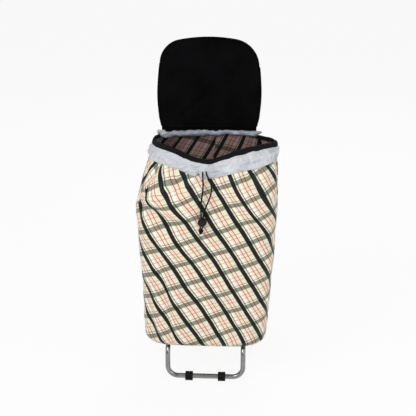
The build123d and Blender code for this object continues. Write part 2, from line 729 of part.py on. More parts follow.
def cord_slot(front_y, back_y):
    """Cuts the slot for the two strands down through the lock, from front_y to back_y."""
    with Locations((LOCK_X, (front_y + back_y) / 2, LOCK_Z)):
        Box(CORD_SPACING + CORD_HOLE, back_y - front_y, 2 * LOCK_OD, mode=Mode.SUBTRACT)


with BuildPart() as cord_lock_body:
    with BuildSketch(Plane.XZ.offset(-LOCK_BACK_Y)):
        with Locations((LOCK_X, LOCK_Z)):
            Circle(LOCK_OD / 2)
    extrude(amount=LOCK_FRONT + LOCK_BACK)
    fillet(cord_lock_body.edges().filter_by(GeomType.CIRCLE), radius=LOCK_ROUND)
    with BuildSketch(Plane.XZ.offset(-CAVITY_BACK_Y)):
        with Locations((LOCK_X, LOCK_Z)):
            Circle(BUTTON_OD / 2 + SLIDE_GAP)
    extrude(amount=LOCK_FRONT + LOCK_BACK, mode=Mode.SUBTRACT)
    cord_slot(LOCK_Y - CORD_HOLE / 2, LOCK_Y + CORD_HOLE / 2)
save(cord_lock_body, "cord_lock_body")

with BuildPart() as cord_lock_button:
    with BuildSketch(Plane.XZ.offset(-BUTTON_BACK_Y)):
        with Locations((LOCK_X, LOCK_Z)):
            Circle(BUTTON_OD / 2)
    extrude(amount=BUTTON_BACK_Y - LOCK_FRONT_Y + BUTTON_REACH)
    fillet(cord_lock_button.edges().sort_by(Axis.Y)[0], radius=BUTTON_REACH / 3)
    cord_slot(LOCK_Y - CORD_HOLE / 2 - BUTTON_TRAVEL, LOCK_Y + CORD_HOLE / 2)
save(cord_lock_button, "cord_lock_button")

# Spring behind the button
SPRING_LENGTH = CAVITY_BACK_Y - BUTTON_BACK_Y - SPRING_WIRE - 2 * SOFT_GAP
SPRING_START = (LOCK_X, BUTTON_BACK_Y + SPRING_WIRE / 2 + SOFT_GAP, LOCK_Z)
with BuildPart() as cord_lock_spring:
    with BuildLine() as coil:
        Helix(
            pitch=SPRING_LENGTH / SPRING_TURNS,
            height=SPRING_LENGTH,
            radius=(SPRING_OD - SPRING_WIRE) / 2,
            center=SPRING_START,
            direction=(0, 1, 0),
        )
    with BuildSketch(Plane(origin=coil.line @ 0, z_dir=coil.line % 0)):
        Circle(SPRING_WIRE / 2)
    sweep(is_frenet=True)
save(cord_lock_spring, "cord_lock_spring")

# Free strands of the drawcord: out of the slit, down the bag's front and through the lock
STRAND_X = {"left": LOCK_X - CORD_SPACING / 2, "right": LOCK_X + CORD_SPACING / 2}
STRAND_END_Z = LOCK_Z - TAIL_LENGTH
STRAND_ENTRY_Z = LOCK_Z + LOCK_ENTRY
STRAND_LEAVE_Z = LOCK_Z - LOCK_OD / 2
STRAND_OUT_Y = CORD_EXIT_Y - STRAND_OUT
STRAND_ROUTES = {
    "left": [
        (-CORD_EXIT_X, CORD_EXIT_Y, CORD_EXIT_Z),
        (-CORD_EXIT_X, STRAND_OUT_Y, CORD_EXIT_Z),
        (-4.6, -180.0, 622.5),
        (-3.5, -183.5, 610.0),
        (-2.5, -185.0, 592.0),
        (-5.2, -185.6, 568.0),
        (-8.6, -186.4, 545.0),
        (-9.0, -188.6, 525.0),
        (STRAND_X["left"], LOCK_Y, STRAND_ENTRY_Z),
        (STRAND_X["left"], LOCK_Y, STRAND_LEAVE_Z),
        (STRAND_X["left"] - TAIL_SLANT, LOCK_Y, STRAND_END_Z),
    ],
    "right": [
        (CORD_EXIT_X, CORD_EXIT_Y, CORD_EXIT_Z),
        (CORD_EXIT_X, STRAND_OUT_Y, CORD_EXIT_Z),
        (6.4, -180.0, 622.0),
        (12.8, -183.5, 611.0),
        (19.4, -184.8, 594.0),
        (19.0, -185.4, 573.0),
        (10.5, -186.6, 550.0),
        (1.6, -189.4, 529.0),
        (STRAND_X["right"], LOCK_Y, STRAND_ENTRY_Z),
        (STRAND_X["right"], LOCK_Y, STRAND_LEAVE_Z),
        (STRAND_X["right"] - TAIL_SLANT, LOCK_Y, STRAND_END_Z),
    ],
}
ARC_SHARE = 0.45


def bend_radii(points):
    """Largest radius at each corner of a route that uses no more than a share of the shorter run."""
    radii = []
    corners = [Vector(*p) for p in points]
    for before, corner, after in zip(corners, corners[1:], corners[2:]):
        run_in = corner - before
        run_out = after - corner
        half_turn = radians(run_in.get_angle(run_out) / 2)
        radii.append(ARC_SHARE * min(run_in.length, run_out.length) / tan(half_turn))
    return radii


tails = []
for side_name, route in STRAND_ROUTES.items():
    radii = bend_radii(route)
    with BuildPart() as strand:
        with BuildLine() as strand_path:
            FilletPolyline(*route, radius=radii)
        with BuildSketch(Plane(origin=strand_path.line @ 0, z_dir=strand_path.line % 0)):
            Circle(CORD_D / 2)
        sweep()
    length = strand_path.wires()[0].length
    print(f"drawcord_{side_name}: length {length:.1f}, smallest bend {min(radii):.1f}")
    save(strand, f"drawcord_{side_name}")
    tails.append(strand.part)

# Knot that joins the strands' tails, which slant into its top
with BuildPart() as cord_end_knot:
    with BuildSketch(Plane.XY.offset(STRAND_END_Z)):
        with Locations((LOCK_X - TAIL_SLANT, LOCK_Y)):
            SlotCenterToCenter(CORD_SPACING, KNOT_OD)
    extrude(amount=-KNOT_LENGTH)
    fillet(cord_end_knot.edges().group_by(Axis.Z)[0], radius=KNOT_OD / 3)
    fillet(cord_end_knot.edges().group_by(Axis.Z)[-1], radius=KNOT_OD / 4)
    add(tails, mode=Mode.SUBTRACT)
save(cord_end_knot, "cord_end_knot")
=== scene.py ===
# %% [markdown]
# # A shopping trolley with a soft drawstring bag
#
# The frame, foot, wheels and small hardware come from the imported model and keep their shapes. This
# script gives them their finishes, and makes the soft pieces as surfaces: the plaid bag, its nylon
# collar and binding, the lid flap, the drawcord and the webbing. Everything is in metres, with +Z up
# and the bag's front facing -Y.

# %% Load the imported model
import json
import math

import bmesh
import bpy
import numpy as np
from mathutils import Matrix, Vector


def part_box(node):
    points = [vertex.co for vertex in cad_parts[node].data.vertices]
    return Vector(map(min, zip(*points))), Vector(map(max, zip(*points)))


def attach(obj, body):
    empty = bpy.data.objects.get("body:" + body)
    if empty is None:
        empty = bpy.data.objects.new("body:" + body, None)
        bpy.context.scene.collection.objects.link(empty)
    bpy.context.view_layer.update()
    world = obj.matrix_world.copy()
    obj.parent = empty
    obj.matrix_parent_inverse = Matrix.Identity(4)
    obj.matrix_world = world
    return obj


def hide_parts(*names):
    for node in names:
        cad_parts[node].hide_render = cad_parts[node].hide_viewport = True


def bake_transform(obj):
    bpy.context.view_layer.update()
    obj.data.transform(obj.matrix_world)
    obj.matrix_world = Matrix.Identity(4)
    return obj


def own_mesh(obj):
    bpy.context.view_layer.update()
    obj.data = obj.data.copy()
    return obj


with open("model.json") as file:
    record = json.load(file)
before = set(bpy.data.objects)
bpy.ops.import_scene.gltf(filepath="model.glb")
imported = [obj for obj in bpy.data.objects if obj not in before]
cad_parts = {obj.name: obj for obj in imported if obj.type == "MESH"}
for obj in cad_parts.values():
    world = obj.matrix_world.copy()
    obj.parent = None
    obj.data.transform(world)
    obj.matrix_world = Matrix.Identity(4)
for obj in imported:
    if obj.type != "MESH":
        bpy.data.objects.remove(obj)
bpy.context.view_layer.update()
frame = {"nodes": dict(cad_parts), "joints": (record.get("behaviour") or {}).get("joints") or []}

nodes = frame["nodes"]
joints = {j["name"]: j for j in frame["joints"]}

# %% [markdown]
# ## Camera
#
# The trolley is seen from a little above and slightly from its right. A camera can be aimed with a
# constraint, but then its tilt is hidden in the target's place. This one stands on a circle round the
# object and is tipped down by its own angle, so each number does one thing. It is about two and a half
# metres away with a short telephoto lens, which keeps the bag's sides nearly parallel.

# %% Camera
CAMERA_DISTANCE = 2.6
CAMERA_HEIGHT = 1.34
CAMERA_AZIMUTH = math.radians(3.1)
CAMERA_PITCH = math.radians(18.48)
CAMERA_LENS = 83.3
CAMERA_SENSOR = 36


def into_scene(name, data):
    """New object for a camera, lamp or mesh, linked into the scene."""
    thing = bpy.data.objects.new(name, data)
    bpy.context.scene.collection.objects.link(thing)
    return thing


camera_data = bpy.data.cameras.new("camera")
camera_data.lens = CAMERA_LENS
camera_data.sensor_width = CAMERA_SENSOR
camera = into_scene("camera", camera_data)
camera.location = (
    CAMERA_DISTANCE * math.sin(CAMERA_AZIMUTH),
    -CAMERA_DISTANCE * math.cos(CAMERA_AZIMUTH),
    CAMERA_HEIGHT,
)
camera.rotation_euler = (math.pi / 2 - CAMERA_PITCH, 0, CAMERA_AZIMUTH)
bpy.context.scene.camera = camera
print("camera at", [round(v, 3) for v in camera.location])

# %% [markdown]
# ## Turning arrays into meshes
#
# Each new piece is a grid of points worked out with numpy, and the whole arrays go into the mesh at
# once, which is much quicker than adding points one by one. Every grid closes on itself along its
# columns, as a tube does, and some close along their rows too. Where a row shrinks to one point, its
# points are merged, so that the mesh has no hole and no flat sliver there.

# %% Mesh helpers
WELD_DISTANCE = 1e-7


def grid_corners(rows, columns, close_rows):
    """Corner indices of every quad of a grid: (row, column), then the three others, counter-clockwise."""
    r, c = np.meshgrid(np.arange(rows if close_rows else rows - 1), np.arange(columns), indexing="ij")
    r, c = r.ravel(), c.ravel()
    r2, c2 = (r + 1) % rows, (c + 1) % columns
    return np.stack([r * columns + c, r * columns + c2, r2 * columns + c2, r2 * columns + c], axis=1)


def weld_points(mesh):
    """Merges points that lie on one another."""
    welded = bmesh.new()
    welded.from_mesh(mesh)
    bmesh.ops.remove_doubles(welded, verts=welded.verts, dist=WELD_DISTANCE)
    welded.to_mesh(mesh)
    welded.free()


def mesh_piece(name, points, quads, materials, cloth_map=None, face_material=None):
    """Puts points (n, 3) and quads (m, 4) into a smooth mesh object, with its map and material slots."""
    mesh = bpy.data.meshes.new(name)
    mesh.vertices.add(len(points))
    mesh.vertices.foreach_set("co", np.asarray(points, np.float32).ravel())
    mesh.loops.add(quads.size)
    mesh.loops.foreach_set("vertex_index", quads.ravel().astype(np.int32))
    mesh.polygons.add(len(quads))
    mesh.polygons.foreach_set("loop_start", np.arange(0, quads.size, 4, dtype=np.int32))
    mesh.polygons.foreach_set("use_smooth", np.ones(len(quads), bool))
    if face_material is not None:
        mesh.polygons.foreach_set("material_index", face_material.astype(np.int32))
    if cloth_map is not None:
        layer = mesh.uv_layers.new(name="cloth")
        layer.data.foreach_set("uv", np.asarray(cloth_map, np.float32).ravel())
    for material in materials:
        mesh.materials.append(material)
    mesh.update()
    mesh.validate()
    weld_points(mesh)
    return into_scene(name, mesh)


def grid_piece(name, points, materials, cloth_map=None, close_rows=False, face_material=None):
    """Mesh object of a grid of points (rows, columns, 3)."""
    quads = grid_corners(*points.shape[:2], close_rows)
    return mesh_piece(name, points.reshape(-1, 3), quads, materials, cloth_map, face_material)


# %% [markdown]
# The map of the cloth is stored per face corner, not per point, so that two panels can meet along a
# seam with different maps. It is in metres, so a stripe or a rib has its real width on every piece.

# %% Map helpers
def quad_corners(a):
    """Values at the four corners of each quad, from values on the grid's lines."""
    return np.stack([a[:-1, :-1], a[:-1, 1:], a[1:, 1:], a[1:, :-1]], axis=-1)


def corner_map(u, v):
    """Map (u, v) at the four corners of each quad."""
    return np.stack([quad_corners(u), quad_corners(v)], axis=-1)


def length_map(run, columns):
    """Map of a tape: the distance along it, and nothing across."""
    along = np.broadcast_to(run[:, None], (len(run), columns + 1))
    return corner_map(along, 0 * along)


def with_first_column(a):
    """Grid with its first column again at its end, which closes a map round a piece."""
    return np.concatenate([a, a[:, :1]], axis=1)


# %% [markdown]
# Tubes and tapes are profiles carried along a path. Blender's curve bevel does that too, but its rings
# can't be swollen or creased one by one, so the rings are worked out here.

# %% Path helpers
RING_START = (0.0, 0.31, 0.95)


def distance_along(path):
    """Distance from a path's first point to each of its points: the sum of the steps so far."""
    return np.concatenate([[0], np.cumsum(np.linalg.norm(np.diff(path, axis=0), axis=1))])


def path_direction(path):
    """Unit direction of a path at each of its points."""
    tangent = np.gradient(path, axis=0)
    return tangent / np.linalg.norm(tangent, axis=1, keepdims=True)


def ring_angles(count, start=0.0):
    """Even angles once round a ring."""
    return np.linspace(start, start + 2 * np.pi, count, endpoint=False)


def tube_grid(path, radius, sides):
    """Rings of points round a path: each ring is square to the path, and turns as little as it can."""
    path = np.asarray(path, float)
    tangent = path_direction(path)
    normal = np.zeros_like(path)
    first = np.cross(tangent[0], RING_START)
    normal[0] = first / np.linalg.norm(first)
    for i in range(1, len(path)):
        n = normal[i - 1] - tangent[i] * (normal[i - 1] @ tangent[i])
        normal[i] = n / np.linalg.norm(n)
    side = np.cross(tangent, normal)
    a = ring_angles(sides)[None, :, None]
    ring = np.cos(a) * normal[:, None] + np.sin(a) * side[:, None]
    radius = np.broadcast_to(radius, len(path))
    return path[:, None] + ring * radius[:, None, None]


def ends_repeated(run):
    """Values along a path, with the first and last once more for the points that close a tube."""
    return np.concatenate([run[:1], run, run[-1:]])


def drawn_to_points(rings):
    """Rings of a tube, with one more ring at each end drawn to a point, so that the tube is closed."""
    ends = rings.mean(axis=1, keepdims=True) + 0 * rings
    return np.concatenate([ends[:1], rings, ends[-1:]])


# %% [markdown]
# Cloth is described with a few plain curves: an S-shaped step, a bell, a curve through given values, and
# ripples. The ripples are sums of sine waves from a seeded generator. A noise texture would be as
# uneven, but these can be read at any point, and give the same cloth each time.

# %% Curves and waves
def smooth_steps(x, low, high):
    """0 below low, 1 above high and an even S between them."""
    t = np.clip((x - low) / (high - low), 0, 1)
    return t * t * (3 - 2 * t)


def bell(distance, width):
    """1 at no distance, falling away evenly on both sides: e to the minus square of distance over width."""
    return np.exp(-((distance / width) ** 2))


def soft_power(wave, power):
    """Power of a wave's size, with its sign kept: below 1 it draws a circle out towards a rectangle."""
    return np.sign(wave) * np.abs(wave) ** power


def curve_through(x, places, values):
    """Smooth curve through values at places: cubic pieces whose slopes come from the neighbours."""
    places, values = np.asarray(places, float), np.asarray(values, float)
    slopes = np.gradient(values, places)
    x = np.clip(x, places[0], places[-1])
    i = np.clip(np.searchsorted(places, x) - 1, 0, len(places) - 2)
    h = places[i + 1] - places[i]
    t = (x - places[i]) / h
    return (
        (2 * t**3 - 3 * t**2 + 1) * values[i]
        + (t**3 - 2 * t**2 + t) * h * slopes[i]
        + (3 * t**2 - 2 * t**3) * values[i + 1]
        + (t**3 - t**2) * h * slopes[i + 1]
    )


def ripples(x, y, wavelength, waves, seed):
    """Even, repeatable unevenness between about -1 and 1: a few plane waves of near wavelengths."""
    rng = np.random.default_rng(seed)
    total = np.zeros(np.broadcast(x, y).shape)
    for _ in range(waves):
        angle, phase, stretch = rng.uniform(0, np.pi), rng.uniform(0, 2 * np.pi), rng.uniform(0.7, 1.5)
        k = 2 * np.pi / (wavelength * stretch)
        total = total + np.sin(k * (np.cos(angle) * x + np.sin(angle) * y) + phase)
    return total / np.sqrt(waves)


def line_ripples(run, wavelength, waves, seed):
    """Ripples along one line."""
    return ripples(run, 0 * run, wavelength, waves, seed)


# %% [markdown]
# ## Shader helpers
#
# A finish is a small tree of nodes round one Principled shader. Values that are the same all over a
# surface are set on the shader itself, and only what varies over the surface goes through nodes, because
# an exported model keeps a plain value more surely than a linked one.

# %% Shader helpers
def start_finish(name, **principled):
    """New material with a Principled shader whose sockets are set by name."""
    material = bpy.data.materials.new(name)
    material.use_nodes = True
    tree = material.node_tree
    shader = tree.nodes["Principled BSDF"]
    for socket, value in principled.items():
        shader.inputs[socket.replace("_", " ")].default_value = value
    return material, tree, shader


def add_node(tree, kind, *inputs, **settings):
    """Node of a kind with its settings; each input is a value, a socket to link from, or None."""
    node = tree.nodes.new(kind)
    for key, value in settings.items():
        setattr(node, key, value)
    for socket, value in zip(node.inputs, inputs):
        if isinstance(value, bpy.types.NodeSocket):
            tree.links.new(value, socket)
        elif value is not None:
            socket.default_value = value
    return node


def calc(tree, operation, *inputs):
    """Result of a Math node."""
    return add_node(tree, "ShaderNodeMath", *inputs, operation=operation).outputs[0]


def sine_wave(tree, distance, length):
    """Sine of a distance, with a wave of a length."""
    return calc(tree, "SINE", calc(tree, "MULTIPLY", distance, 2 * math.pi / length))


def colour_ramp(tree, factor, stops):
    """Colour from a ramp: stops are (place, colour)."""
    node = add_node(tree, "ShaderNodeValToRGB", factor)
    elements = node.color_ramp.elements
    while len(elements) < len(stops):
        elements.new(0.5)
    for element, (place, colour) in zip(elements, sorted(stops, key=lambda stop: stop[0])):
        element.position = place
        element.color = (*colour, 1)
    return node.outputs[0]


def multiply_colours(tree, share, a, b):
    """Colour a, multiplied by colour b as strongly as a share says."""
    node = add_node(tree, "ShaderNodeMix", share, data_type="RGBA", blend_type="MULTIPLY")
    tree.links.new(a, node.inputs[6])
    tree.links.new(b, node.inputs[7])
    return node.outputs[2]


def paint(tree, shader, colour):
    """Links a colour to the shader."""
    tree.links.new(colour, shader.inputs["Base Color"])


def cloth_place(tree):
    """Place on the piece's map of the cloth."""
    return add_node(tree, "ShaderNodeUVMap", uv_map="cloth").outputs[0]


def cloth_distance(tree, direction):
    """Distance along a direction on the map of the cloth."""
    place = cloth_place(tree)
    return add_node(tree, "ShaderNodeVectorMath", place, direction, operation="DOT_PRODUCT").outputs["Value"]


def object_noise(tree, scale, detail, stretch=(1, 1, 1)):
    """Noise on the piece's own coordinates, stretched along X, Y or Z."""
    place = add_node(tree, "ShaderNodeTexCoord").outputs["Object"]
    mapped = add_node(tree, "ShaderNodeMapping", place, None, None, stretch).outputs[0]
    return add_node(tree, "ShaderNodeTexNoise", mapped, None, scale, detail).outputs["Fac"]


def bump(tree, shader, height, distance, strength):
    """Roughens the shader's normal by a height."""
    node = add_node(tree, "ShaderNodeBump", strength, distance)
    tree.links.new(height, node.inputs["Height"])
    tree.links.new(node.outputs[0], shader.inputs["Normal"])


# %% [markdown]
# ## Plaid cloth
#
# The bag is cut on the bias from a woven plaid: a cream ground, charcoal bands, red lines and pale sage
# cross bands. An image could carry the pattern, but nodes stay sharp at any distance. The map of the
# cloth is in metres, so the stripes are bands of distance along two directions. One is across the dark
# stripes, which fall steeply to the right, and one is across the pale ones, which rise gently.

# %% Plaid colours and stripes
CREAM = (0.81, 0.79, 0.60)
WHITE = (0.95, 0.94, 0.87)
CHARCOAL = (0.006, 0.006, 0.008)
SOFT_RED = (0.72, 0.012, 0.022)
SAGE = (0.20, 0.23, 0.20)
ROSE = (0.88, 0.22, 0.22)
UNDYED = (1.0, 1.0, 1.0)
DARK_REPEAT = 0.054
PALE_REPEAT = 0.059
DARK_FALL = math.radians(57)
PALE_RISE = math.radians(20)
PALE_STRENGTH = 0.86
THREAD = 0.0011
STRIPE_EDGE = 0.008
# Stripes of the two sets, as shares of their repeats, with their colours
DARK_STRIPES = [
    (0.04, 0.26, CHARCOAL),
    (0.32, 0.36, CHARCOAL),
    (0.41, 0.50, WHITE),
    (0.59, 0.635, SOFT_RED),
    (0.77, 0.815, SOFT_RED),
]
PALE_STRIPES = [(0.05, 0.27, SAGE), (0.33, 0.37, SAGE), (0.59, 0.625, ROSE), (0.77, 0.805, ROSE)]


def stripe_stops(ground, stripes):
    """Ramp stops for stripes (start, end, colour) on a ground, with short soft edges."""
    stops = [(0.0, ground)]
    for start, end, colour in stripes:
        stops += [(start, ground), (start + STRIPE_EDGE, colour)]
        stops += [(end - STRIPE_EDGE, colour), (end, ground)]
    return stops


print("plaid repeats", DARK_REPEAT, PALE_REPEAT)

# %% Plaid finish
def plaid_finish(name, tint, roughness):
    """Woven plaid on the cloth's map times a tint, with a thread-sized bump and painted shade in the weave.
    """
    material, tree, shader = start_finish(
        name, Roughness=roughness, Specular_IOR_Level=0.24, Sheen_Weight=0.02, Sheen_Roughness=0.4
    )
    across_dark = cloth_distance(tree, (math.sin(DARK_FALL), math.cos(DARK_FALL), 0))
    across_pale = cloth_distance(tree, (-math.sin(PALE_RISE), math.cos(PALE_RISE), 0))
    dark_share = calc(tree, "FRACT", calc(tree, "DIVIDE", across_dark, DARK_REPEAT))
    pale_share = calc(tree, "FRACT", calc(tree, "DIVIDE", across_pale, PALE_REPEAT))
    dark = colour_ramp(tree, dark_share, stripe_stops(CREAM, DARK_STRIPES))
    pale = colour_ramp(tree, pale_share, stripe_stops(UNDYED, PALE_STRIPES))
    woven = multiply_colours(tree, PALE_STRENGTH, dark, pale)
    weave = calc(tree, "MULTIPLY", sine_wave(tree, across_dark, THREAD), sine_wave(tree, across_pale, THREAD))
    shade = calc(tree, "MULTIPLY_ADD", object_noise(tree, 38, 4), 0.10, 0.95)
    # Painted shade in the weave: up to six percent darker where its bump is low, lighter where high
    shade = calc(tree, "MULTIPLY", shade, calc(tree, "MULTIPLY_ADD", weave, 0.06, 1.0))
    tone_and_painted_shade = add_node(tree, "ShaderNodeCombineColor", *(calc(tree, "MULTIPLY", shade, part) for part in tint))
    paint(tree, shader, multiply_colours(tree, 1.0, woven, tone_and_painted_shade.outputs[0]))
    crumple = object_noise(tree, 90, 5, (1, 1, 1.6))
    bump(tree, shader, calc(tree, "MULTIPLY_ADD", weave, 0.12, crumple), 0.0009, 0.7)
    return material


PLAID = plaid_finish("bag_plaid", UNDYED, 0.36)
# The inside's plaid is darker and warmer: the reverse's duller, rougher cloth, with painted shade darkening
# it
PLAID_REVERSE_SHADED = plaid_finish("bag_plaid_reverse", (0.30, 0.235, 0.255), 0.75)
print("plaid finishes", PLAID.name, PLAID_REVERSE_SHADED.name)

# %% [markdown]
# ## Nylon and tape
#
# The collar is thin light grey nylon, shiny enough to show each wrinkle. The bindings are black
# grosgrain, whose fine ribs run across the tape. The ribs follow the tape's map, so they turn with it
# round every corner. Webbing is the same weave, coarser.

# %% Nylon and tape finishes
def nylon_finish(name, low, high):
    """Thin nylon: a fine weave, cloudy shade from a low to a high colour and a soft sheen."""
    material, tree, shader = start_finish(
        name, Roughness=0.42, Specular_IOR_Level=0.45, Sheen_Weight=0.15, Sheen_Roughness=0.35
    )
    cloud = object_noise(tree, 24, 4, (1, 1, 0.6))
    paint(tree, shader, colour_ramp(tree, cloud, [(0.3, low), (0.7, high)]))
    bump(tree, shader, object_noise(tree, 130, 5, (0.6, 0.6, 1.6)), 0.0016, 0.8)
    return material


def tape_finish(name, colour, rib):
    """Ribbed woven tape: fine ribs across its length, on the piece's map in metres."""
    material, tree, shader = start_finish(name, Roughness=0.75, Specular_IOR_Level=0.12, Sheen_Weight=0.01)
    along = add_node(tree, "ShaderNodeSeparateXYZ", cloth_place(tree)).outputs[0]
    wave = sine_wave(tree, along, rib)
    # The ribs' crests are painted lighter and their grooves darker, following the bump: painted highlight and
    # shade
    light = tuple(2.2 * c + 0.002 for c in colour)
    height = calc(tree, "MULTIPLY_ADD", wave, 0.5, 0.5)
    paint(tree, shader, colour_ramp(tree, height, [(0, colour), (1, light)]))
    bump(tree, shader, wave, 0.0004, 0.6)
    return material


NYLON = nylon_finish("collar_nylon", (0.47, 0.50, 0.545), (0.66, 0.68, 0.71))
# For the roll under the lid: the same nylon, darker all over, as painted shade
NYLON_PAINTED_SHADE = nylon_finish("collar_nylon_reverse", (0.17, 0.19, 0.24), (0.40, 0.43, 0.50))
BINDING_TAPE = tape_finish("binding_tape", (0.003, 0.003, 0.0035), 0.0012)
WEBBING = tape_finish("webbing", (0.010, 0.010, 0.011), 0.0019)
print("soft finishes", NYLON.name, NYLON_PAINTED_SHADE.name, BINDING_TAPE.name, WEBBING.name)

# %% [markdown]
# ## Lining and cord
#
# The lid's lining is a dull black cloth, dark enough that only its folds catch light. The cord is
# braided. Modelling every yarn would take more faces than the bag, so the braid is two crossing sets of
# slanted waves on the cord's map, which follow the cord wherever it bends.

# %% Lining and cord finishes
BRAID_PER_METRE = 330
BRAID_PER_TURN = 6


def lining_finish():
    """Dull black lining with faint crumples."""
    material, tree, shader = start_finish("lid_lining", Roughness=0.75, Specular_IOR_Level=0.04)
    cloud = object_noise(tree, 18, 4)
    stops = [(0.3, (0.0008, 0.0008, 0.0011)), (0.75, (0.0030, 0.0026, 0.0032))]
    paint(tree, shader, colour_ramp(tree, cloud, stops))
    bump(tree, shader, object_noise(tree, 260, 3), 0.0004, 0.5)
    return material


def cord_finish():
    """Braided black cord: the higher of two slanted waves on the cord's map (length, turn)."""
    material, tree, shader = start_finish("cord_braid", Roughness=0.65, Specular_IOR_Level=0.15)
    slanted = [cloth_distance(tree, (BRAID_PER_METRE, slant * BRAID_PER_TURN, 0)) for slant in (1, -1)]
    braid = calc(tree, "MAXIMUM", *(sine_wave(tree, distance, 1.0) for distance in slanted))
    # The braid's crests are painted lighter and its grooves darker, following the bump: painted highlight and
    # shade
    stops = [(0.1, (0.0015, 0.0015, 0.002)), (0.9, (0.010, 0.010, 0.012))]
    paint(tree, shader, colour_ramp(tree, braid, stops))
    bump(tree, shader, braid, 0.0005, 0.8)
    return material


LINING = lining_finish()
CORD = cord_finish()
print("soft finishes", LINING.name, CORD.name)

# %% [markdown]
# ## Bag body
#
# The bag is a loft of soft rectangles. Its left and right sides, its front and its squareness each follow
# a curve up the height, because the filled cloth is widest at its shoulder and is drawn in and to the
# right at its mouth. Each level is a superellipse, which bows a little along its sides, as cloth does. A
# cloth simulation would fold the bag too, but it would also lose this outline, which the frame, the
# collar and the lid all have to fit.

# %% Bag form
bag_low, bag_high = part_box("bag_body")
_, rim_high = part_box("bag_rim_binding")
BACK_Y = bag_high.y
BAG_BOTTOM = bag_low.z
LEVELS = [0.105, 0.200, 0.320, 0.440, 0.500, 0.545, 0.590, 0.630, 0.700]
LEFT = [-0.174, -0.176, -0.181, -0.189, -0.190, -0.184, -0.173, -0.160, -0.140]
RIGHT = [0.170, 0.176, 0.185, 0.191, 0.193, 0.194, 0.193, 0.191, 0.188]
FRONT = [-0.157, -0.164, -0.171, -0.177, -0.1785, -0.178, -0.173, -0.168, -0.157]
SQUARENESS = [4.4, 5.0, 5.2, 5.0, 4.8, 4.6, 4.4, 4.2, 3.8]
# The drawcord pulls the mouth to a lens: squareness of its front left, front right, back right and back left
MOUTH_LEVEL = 0.687
MOUTH_START = 0.615
MOUTH_SQUARENESS = (1.95, 1.5, 2.8, 2.6)


def bag_level(z):
    """Middle, half sizes and squareness of the bag's outline at height z."""
    left, right, front, squareness = (curve_through(z, LEVELS, v) for v in (LEFT, RIGHT, FRONT, SQUARENESS))
    return (left + right) / 2, (front + BACK_Y) / 2, (right - left) / 2, (BACK_Y - front) / 2, squareness


def bag_outline(turn, z, inset=0.0):
    """Point of the bag's outline at an angle and height, drawn in by inset, and the outward direction there.
    On a superellipse the powers of x / a and y / b add up to 1."""
    x0, y0, a, b, n = bag_level(z)
    a, b = a - inset, b - inset
    c, s = np.cos(turn), np.sin(turn)
    front_left, front_right, back_right, back_left = MOUTH_SQUARENESS
    at_front = np.where(c < 0, front_left, front_right)
    at_back = np.where(c > 0, back_right, back_left)
    n = n + (np.where(s < 0, at_front, at_back) - n) * smooth_steps(z, MOUTH_START, MOUTH_LEVEL)
    reach = (np.abs(c) ** n + np.abs(s) ** n) ** (-1 / n)
    x, y = c * reach, s * reach
    out_x, out_y = soft_power(x, n - 1) / a, soft_power(y, n - 1) / b
    length = np.hypot(out_x, out_y)
    point = np.stack([x0 + a * x, y0 + b * y, z + 0 * x], axis=-1)
    return point, np.stack([out_x / length, out_y / length, 0 * out_x], axis=-1)


def level_outline(turn, level, inset=0.0):
    """Points and outward directions of the bag's outline at angles of one level."""
    return bag_outline(turn, np.full_like(turn, level), inset)


# %% Distance round the bag
AROUND = 240
REFERENCE_LEVEL = 0.40
FINE_STEPS = 8001


def even_turns(count, level):
    """Angles that divide the outline at a level into even lengths, starting at the middle of the back, and
    the distance round to each, with the whole length at the end."""
    turn = np.linspace(0.5 * np.pi, 2.5 * np.pi, FINE_STEPS)
    point, _ = level_outline(turn, level)
    run = distance_along(point)
    even = np.linspace(0, run[-1], count + 1)
    return np.interp(even, run, turn), even


turns, girth = even_turns(AROUND, REFERENCE_LEVEL)
GIRTH = girth[-1]
print("girth", round(GIRTH, 3))

# %% [markdown]
# ### Rim and hem
#
# The rim is level along the back, sags at the middle of the front and dips at the back right. The
# collar's lower hem is about level, hangs lower at the front a little right of the middle, and has a
# small notch where the cord comes out. Each is one level with bells and steps taken off it.

# %% Rim and hem heights
RIM_LEVEL = rim_high.z - 0.001
RIM_SAG = RIM_LEVEL - 0.660
RIM_SAG_X = 0.007
RIM_SAG_WIDTH = 0.065
RIM_SAG_DEPTHS = (0.06, 0.14)
RIM_DIP = 0.012
RIM_DIP_ACROSS = (0.10, 0.155)
RIM_DIP_DEPTHS = (-0.10, 0.0)
HEM_LEVEL = 0.647
HEM_SAG = 0.037
HEM_SAG_X = 0.012
HEM_SAG_LEFT = 0.066
HEM_SAG_RIGHT = 0.088
HEM_NOTCH = 0.012
HEM_NOTCH_X = -0.005
HEM_NOTCH_WIDTH = 0.0045
HEM_FRONT_DEPTHS = (0.05, 0.13)
ROLL_START = -0.315
ROLL_END = 0.385
ROLL_TUCK_LENGTH = 0.05


def rim_height(x, y):
    """Height of the rim: its level, less a bell at the front and a step at the back right."""
    sag = RIM_SAG * bell(x - RIM_SAG_X, RIM_SAG_WIDTH) * smooth_steps(-y, *RIM_SAG_DEPTHS)
    return RIM_LEVEL - sag - RIM_DIP * smooth_steps(x, *RIM_DIP_ACROSS) * smooth_steps(y, *RIM_DIP_DEPTHS)


def hem_height(x, y):
    """Height of the collar's lower hem: its level, less a lopsided bell at the front, plus the notch."""
    front = smooth_steps(-y, *HEM_FRONT_DEPTHS)
    width = np.where(x < HEM_SAG_X, HEM_SAG_LEFT, HEM_SAG_RIGHT)
    sag = HEM_SAG * bell(x - HEM_SAG_X, width) * front
    return HEM_LEVEL - sag + HEM_NOTCH * bell(x - HEM_NOTCH_X, HEM_NOTCH_WIDTH) * front


